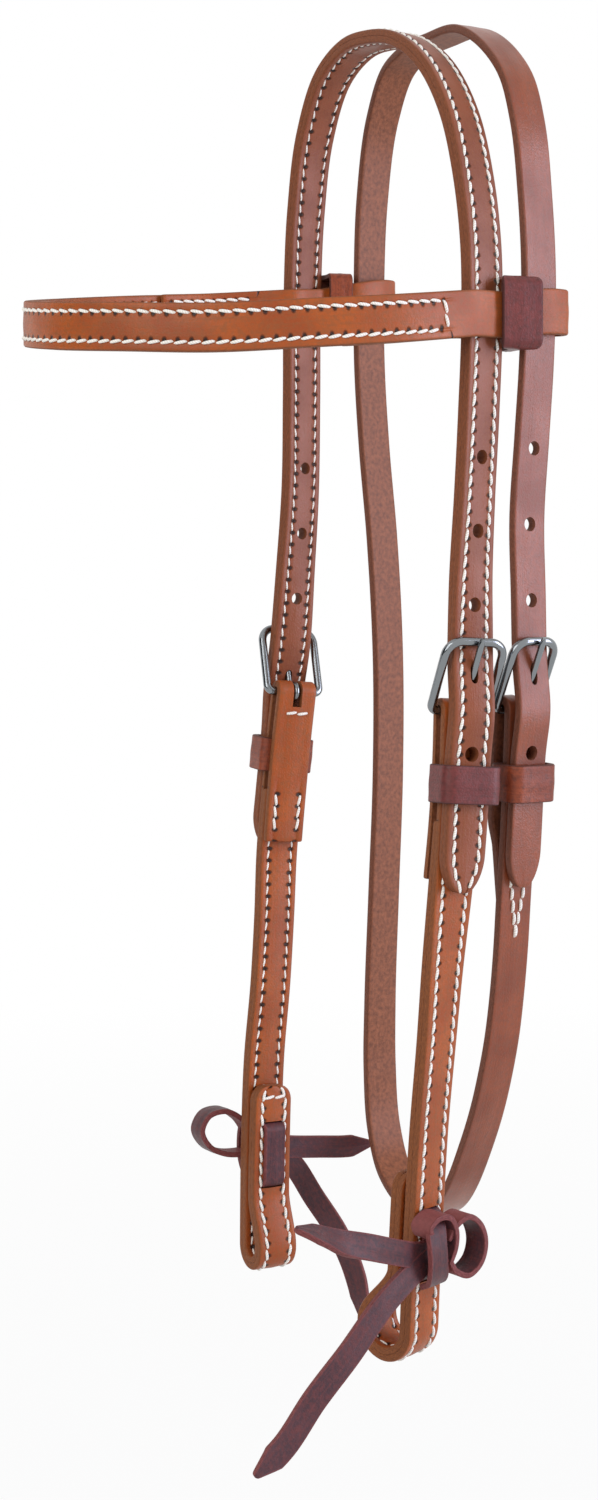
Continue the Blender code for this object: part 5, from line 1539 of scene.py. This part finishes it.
def bit_tie(buckled):
    """The staple through the slots, and the bow, its band, the collar and both tails outside."""
    line, down = SIDE, buckled.down
    knot, (outer, inner) = KNOTS[buckled.name]
    name = buckled.name.replace("cheek", "bit_tie")
    clear = SEAM_GAP + THONG / 2
    ring = rounded_loop(SLOT_SPACING / 2, inner - clear, outer + clear, THONG, THONG)
    rows = drawn(line, ring * [down, 1] + [knot, 0])
    strip = Strip(rows, THONG_WIDTH, outward_face(rows), closed=True)
    staple = strap(f"dressed_{name}", strip, THONG_SECTION, THONGS, "headstall")
    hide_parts(name)
    wide, out = line.wide(knot), line.outward(knot)
    seat = line.place(knot, outer + clear)

    def world(shares, size):
        """Shares of (to the front, up, out) from where the thong leaves the strap."""
        points = np.asarray(shares, float)[:, :3] * size
        return seat + down * points[:, :1] * wide + points[:, 1:2] * UP + points[:, 2:] * out

    shares = TIE_SHARES[buckled.name]
    strips = []
    for part, across in (("bow", out), ("band", wide), ("collar", out)):
        if part in shares:
            strips.append((part, smooth(world(shares[part], KNOT_SIZE)), across))
    for tail in ("upper_tail", "lower_tail"):
        rows = smooth(np.array(shares[tail]))
        points = world(rows, TAIL_REACH)
        lean = np.radians(rows[:, 3:])
        run = unit(np.gradient(points, lengths_along(points), axis=0))
        upright = unit(np.cross(np.cross(run, UP), run))
        strips.append((tail, points, np.cos(lean) * upright + np.sin(lean) * np.cross(run, upright)))
    for label, points, across in strips:
        tail = label.endswith("tail")
        tip = (THONG_WIDTH, THONG, 1) if tail else None
        strip = Strip(lane(points, across), THONG_WIDTH, -down if tail else down, end=tip)
        strap(f"{name}_{label}", strip, THONG_SECTION, THONGS, "headstall")
        print(f"{name} {label} {strip.along[-1] / MM:.0f} mm")


bit_tie(NEAR)
bit_tie(FAR)


# %% [markdown]
# ## Camera, light and floor
# The camera stands 60 degrees round to the near side, level with the upper straps, as the
# fitted strap edges of the photograph say.  The floor and the backdrop read as white.

# %% Camera
PHOTO_WIDTH, PHOTO_HEIGHT = 598, 1500
FOCAL_PIXELS = 2257.6
AXIS_COLUMN, AXIS_ROW = 387, 550
CAMERA_TURN = math.radians(60)
CAMERA_DISTANCE = 830 * MM
CAMERA_HEIGHT = -185 * MM
SENSOR = 36.0

lens = bpy.data.cameras.new("camera")
lens.sensor_width = SENSOR
lens.lens = FOCAL_PIXELS * SENSOR / PHOTO_HEIGHT
lens.shift_x = (PHOTO_WIDTH / 2 - AXIS_COLUMN) / PHOTO_HEIGHT
lens.shift_y = (AXIS_ROW - PHOTO_HEIGHT / 2) / PHOTO_HEIGHT
camera = add_object("camera", lens)
camera.location = (
    CAMERA_DISTANCE * math.sin(CAMERA_TURN), -CAMERA_DISTANCE * math.cos(CAMERA_TURN), CAMERA_HEIGHT,
)
camera.rotation_euler = (math.radians(90), 0, CAMERA_TURN)
bpy.context.scene.camera = camera
print("lens", round(lens.lens, 2), "shift", round(lens.shift_x, 4), round(lens.shift_y, 4))

# %% Lights
def area_light(name, place, target, size, power, colour="#FFFFFF"):
    """A rectangular soft light that points at its target."""
    lamp = bpy.data.lights.new(name, "AREA")
    lamp.shape = "RECTANGLE"
    lamp.size, lamp.size_y = size
    lamp.energy = power
    lamp.color = linear(colour)[:3]
    holder = add_object(name, lamp)
    holder.location = place
    holder.rotation_euler = (Vector(target) - Vector(place)).to_track_quat("-Z", "Y").to_euler()


MIDDLE = (0.0, -0.03, -0.25)
area_light("key", (0.55, -1.15, 0.35), MIDDLE, (0.9, 1.1), 9.2)
area_light("side", (0.95, 1.05, 0.05), MIDDLE, (0.55, 1.1), 15.5, "#E3E6FF")


# %% [markdown]
# A black cloth hangs in front of the object, beside the camera.  Only reflections see it: it
# draws the dark bands that bent wire shows in a studio, and keeps a white haze off the leather.

# %% Black cloth and rays
CLOTH_DISTANCE, CLOTH_TURN, CLOTH_WIDTH, CLOTH_TALL = 2.2, math.radians(-85), 4.4, 3.4


def black_cloth():
    """A dull black sheet that stands upright and faces the object."""
    sockets = {"Base Color": linear("#0C0C0C"), "Roughness": 1.0}
    finish = new_material("black_cloth", sockets)[0]
    toward = np.array([math.cos(CLOTH_TURN), math.sin(CLOTH_TURN), 0])
    side = np.cross(UP, toward) * CLOTH_WIDTH / 2
    rise = UP * CLOTH_TALL / 2
    centre = np.array(MIDDLE) + toward * CLOTH_DISTANCE
    corners = [centre - side - rise, centre + side - rise, centre + side + rise, centre - side + rise]
    mesh = bpy.data.meshes.new("black_cloth")
    mesh.from_pydata([corner.tolist() for corner in corners], [], [(0, 1, 2, 3)])
    mesh.materials.append(finish)
    cloth = add_object("black_cloth", mesh)
    cloth.visible_camera = cloth.visible_diffuse = cloth.visible_shadow = False
    cloth.visible_transmission = cloth.visible_volume_scatter = False
    print("black cloth", CLOTH_WIDTH, "x", CLOTH_TALL, "m")


black_cloth()

# %% [markdown]
# The sky is half as bright for its light as it looks to the camera, so the backdrop is white
# while the leather keeps its shadows.  The floor fades into that white away from the object.

# %% Sky
SKY_LIGHT = 0.5


def direct_view(tree):
    """1 where the camera, a reflection or a view through glass sees the surface, 0 for its light."""
    rays = add_node(tree, "ShaderNodeLightPath").outputs
    seen = rays["Is Camera Ray"]
    for ray in ("Is Glossy Ray", "Is Transmission Ray"):
        seen = add_node(tree, "ShaderNodeMath", {0: seen, 1: rays[ray]}, operation="MAXIMUM").outputs[0]
    return seen


world = bpy.data.worlds.new("studio")
bpy.context.scene.world = world
world.use_nodes = True
sky = world.node_tree
strength = add_node(sky, "ShaderNodeMapRange", {0: direct_view(sky), 3: SKY_LIGHT, 4: 1.0})
sky.links.new(strength.outputs[0], sky.nodes["Background"].inputs["Strength"])
sky.nodes["Background"].inputs["Color"].default_value = (1, 1, 1, 1)
print("sky light", SKY_LIGHT)

# %% Floor
FLOOR_HEIGHT = -600 * MM
FLOOR_HALF = 60.0
FLOOR_NEAR, FLOOR_FAR = 0.4, 1.4
FLOOR_FADE = 0.88
floor_mesh = bpy.data.meshes.new("floor")
corners = [(-1, -1), (1, -1), (1, 1), (-1, 1)]
floor_points = [(x * FLOOR_HALF, y * FLOOR_HALF, FLOOR_HEIGHT) for x, y in corners]
floor_mesh.from_pydata(floor_points, [], [(0, 1, 2, 3)])
floor = add_object("floor", floor_mesh)
paper, tree, shader = new_material("white_paper_floor", {"Base Color": linear("#E9E9E7"), "Roughness": 0.9})
place = add_node(tree, "ShaderNodeTexCoord").outputs["Object"]
away = add_node(tree, "ShaderNodeVectorMath", {0: place}, operation="LENGTH").outputs["Value"]
inputs = {0: away, 1: FLOOR_NEAR, 2: FLOOR_FAR, 3: FLOOR_FADE, 4: 1.0}
fade = add_node(tree, "ShaderNodeMapRange", inputs).outputs[0]
inputs = {0: fade, 1: direct_view(tree)}
shown = add_node(tree, "ShaderNodeMath", inputs, operation="MULTIPLY").outputs[0]
backdrop = add_node(tree, "ShaderNodeEmission", {"Color": (1, 1, 1, 1), "Strength": 1.0}).outputs[0]
mixed = add_node(tree, "ShaderNodeMixShader", {0: shown, 1: shader.outputs[0], 2: backdrop})
tree.links.new(mixed.outputs[0], tree.nodes["Material Output"].inputs["Surface"])
floor_mesh.materials.append(paper)
print("floor at", FLOOR_HEIGHT, "m")

# %% Picture settings
bpy.context.scene.view_settings.view_transform = "Standard"
print("view transform", bpy.context.scene.view_settings.view_transform)
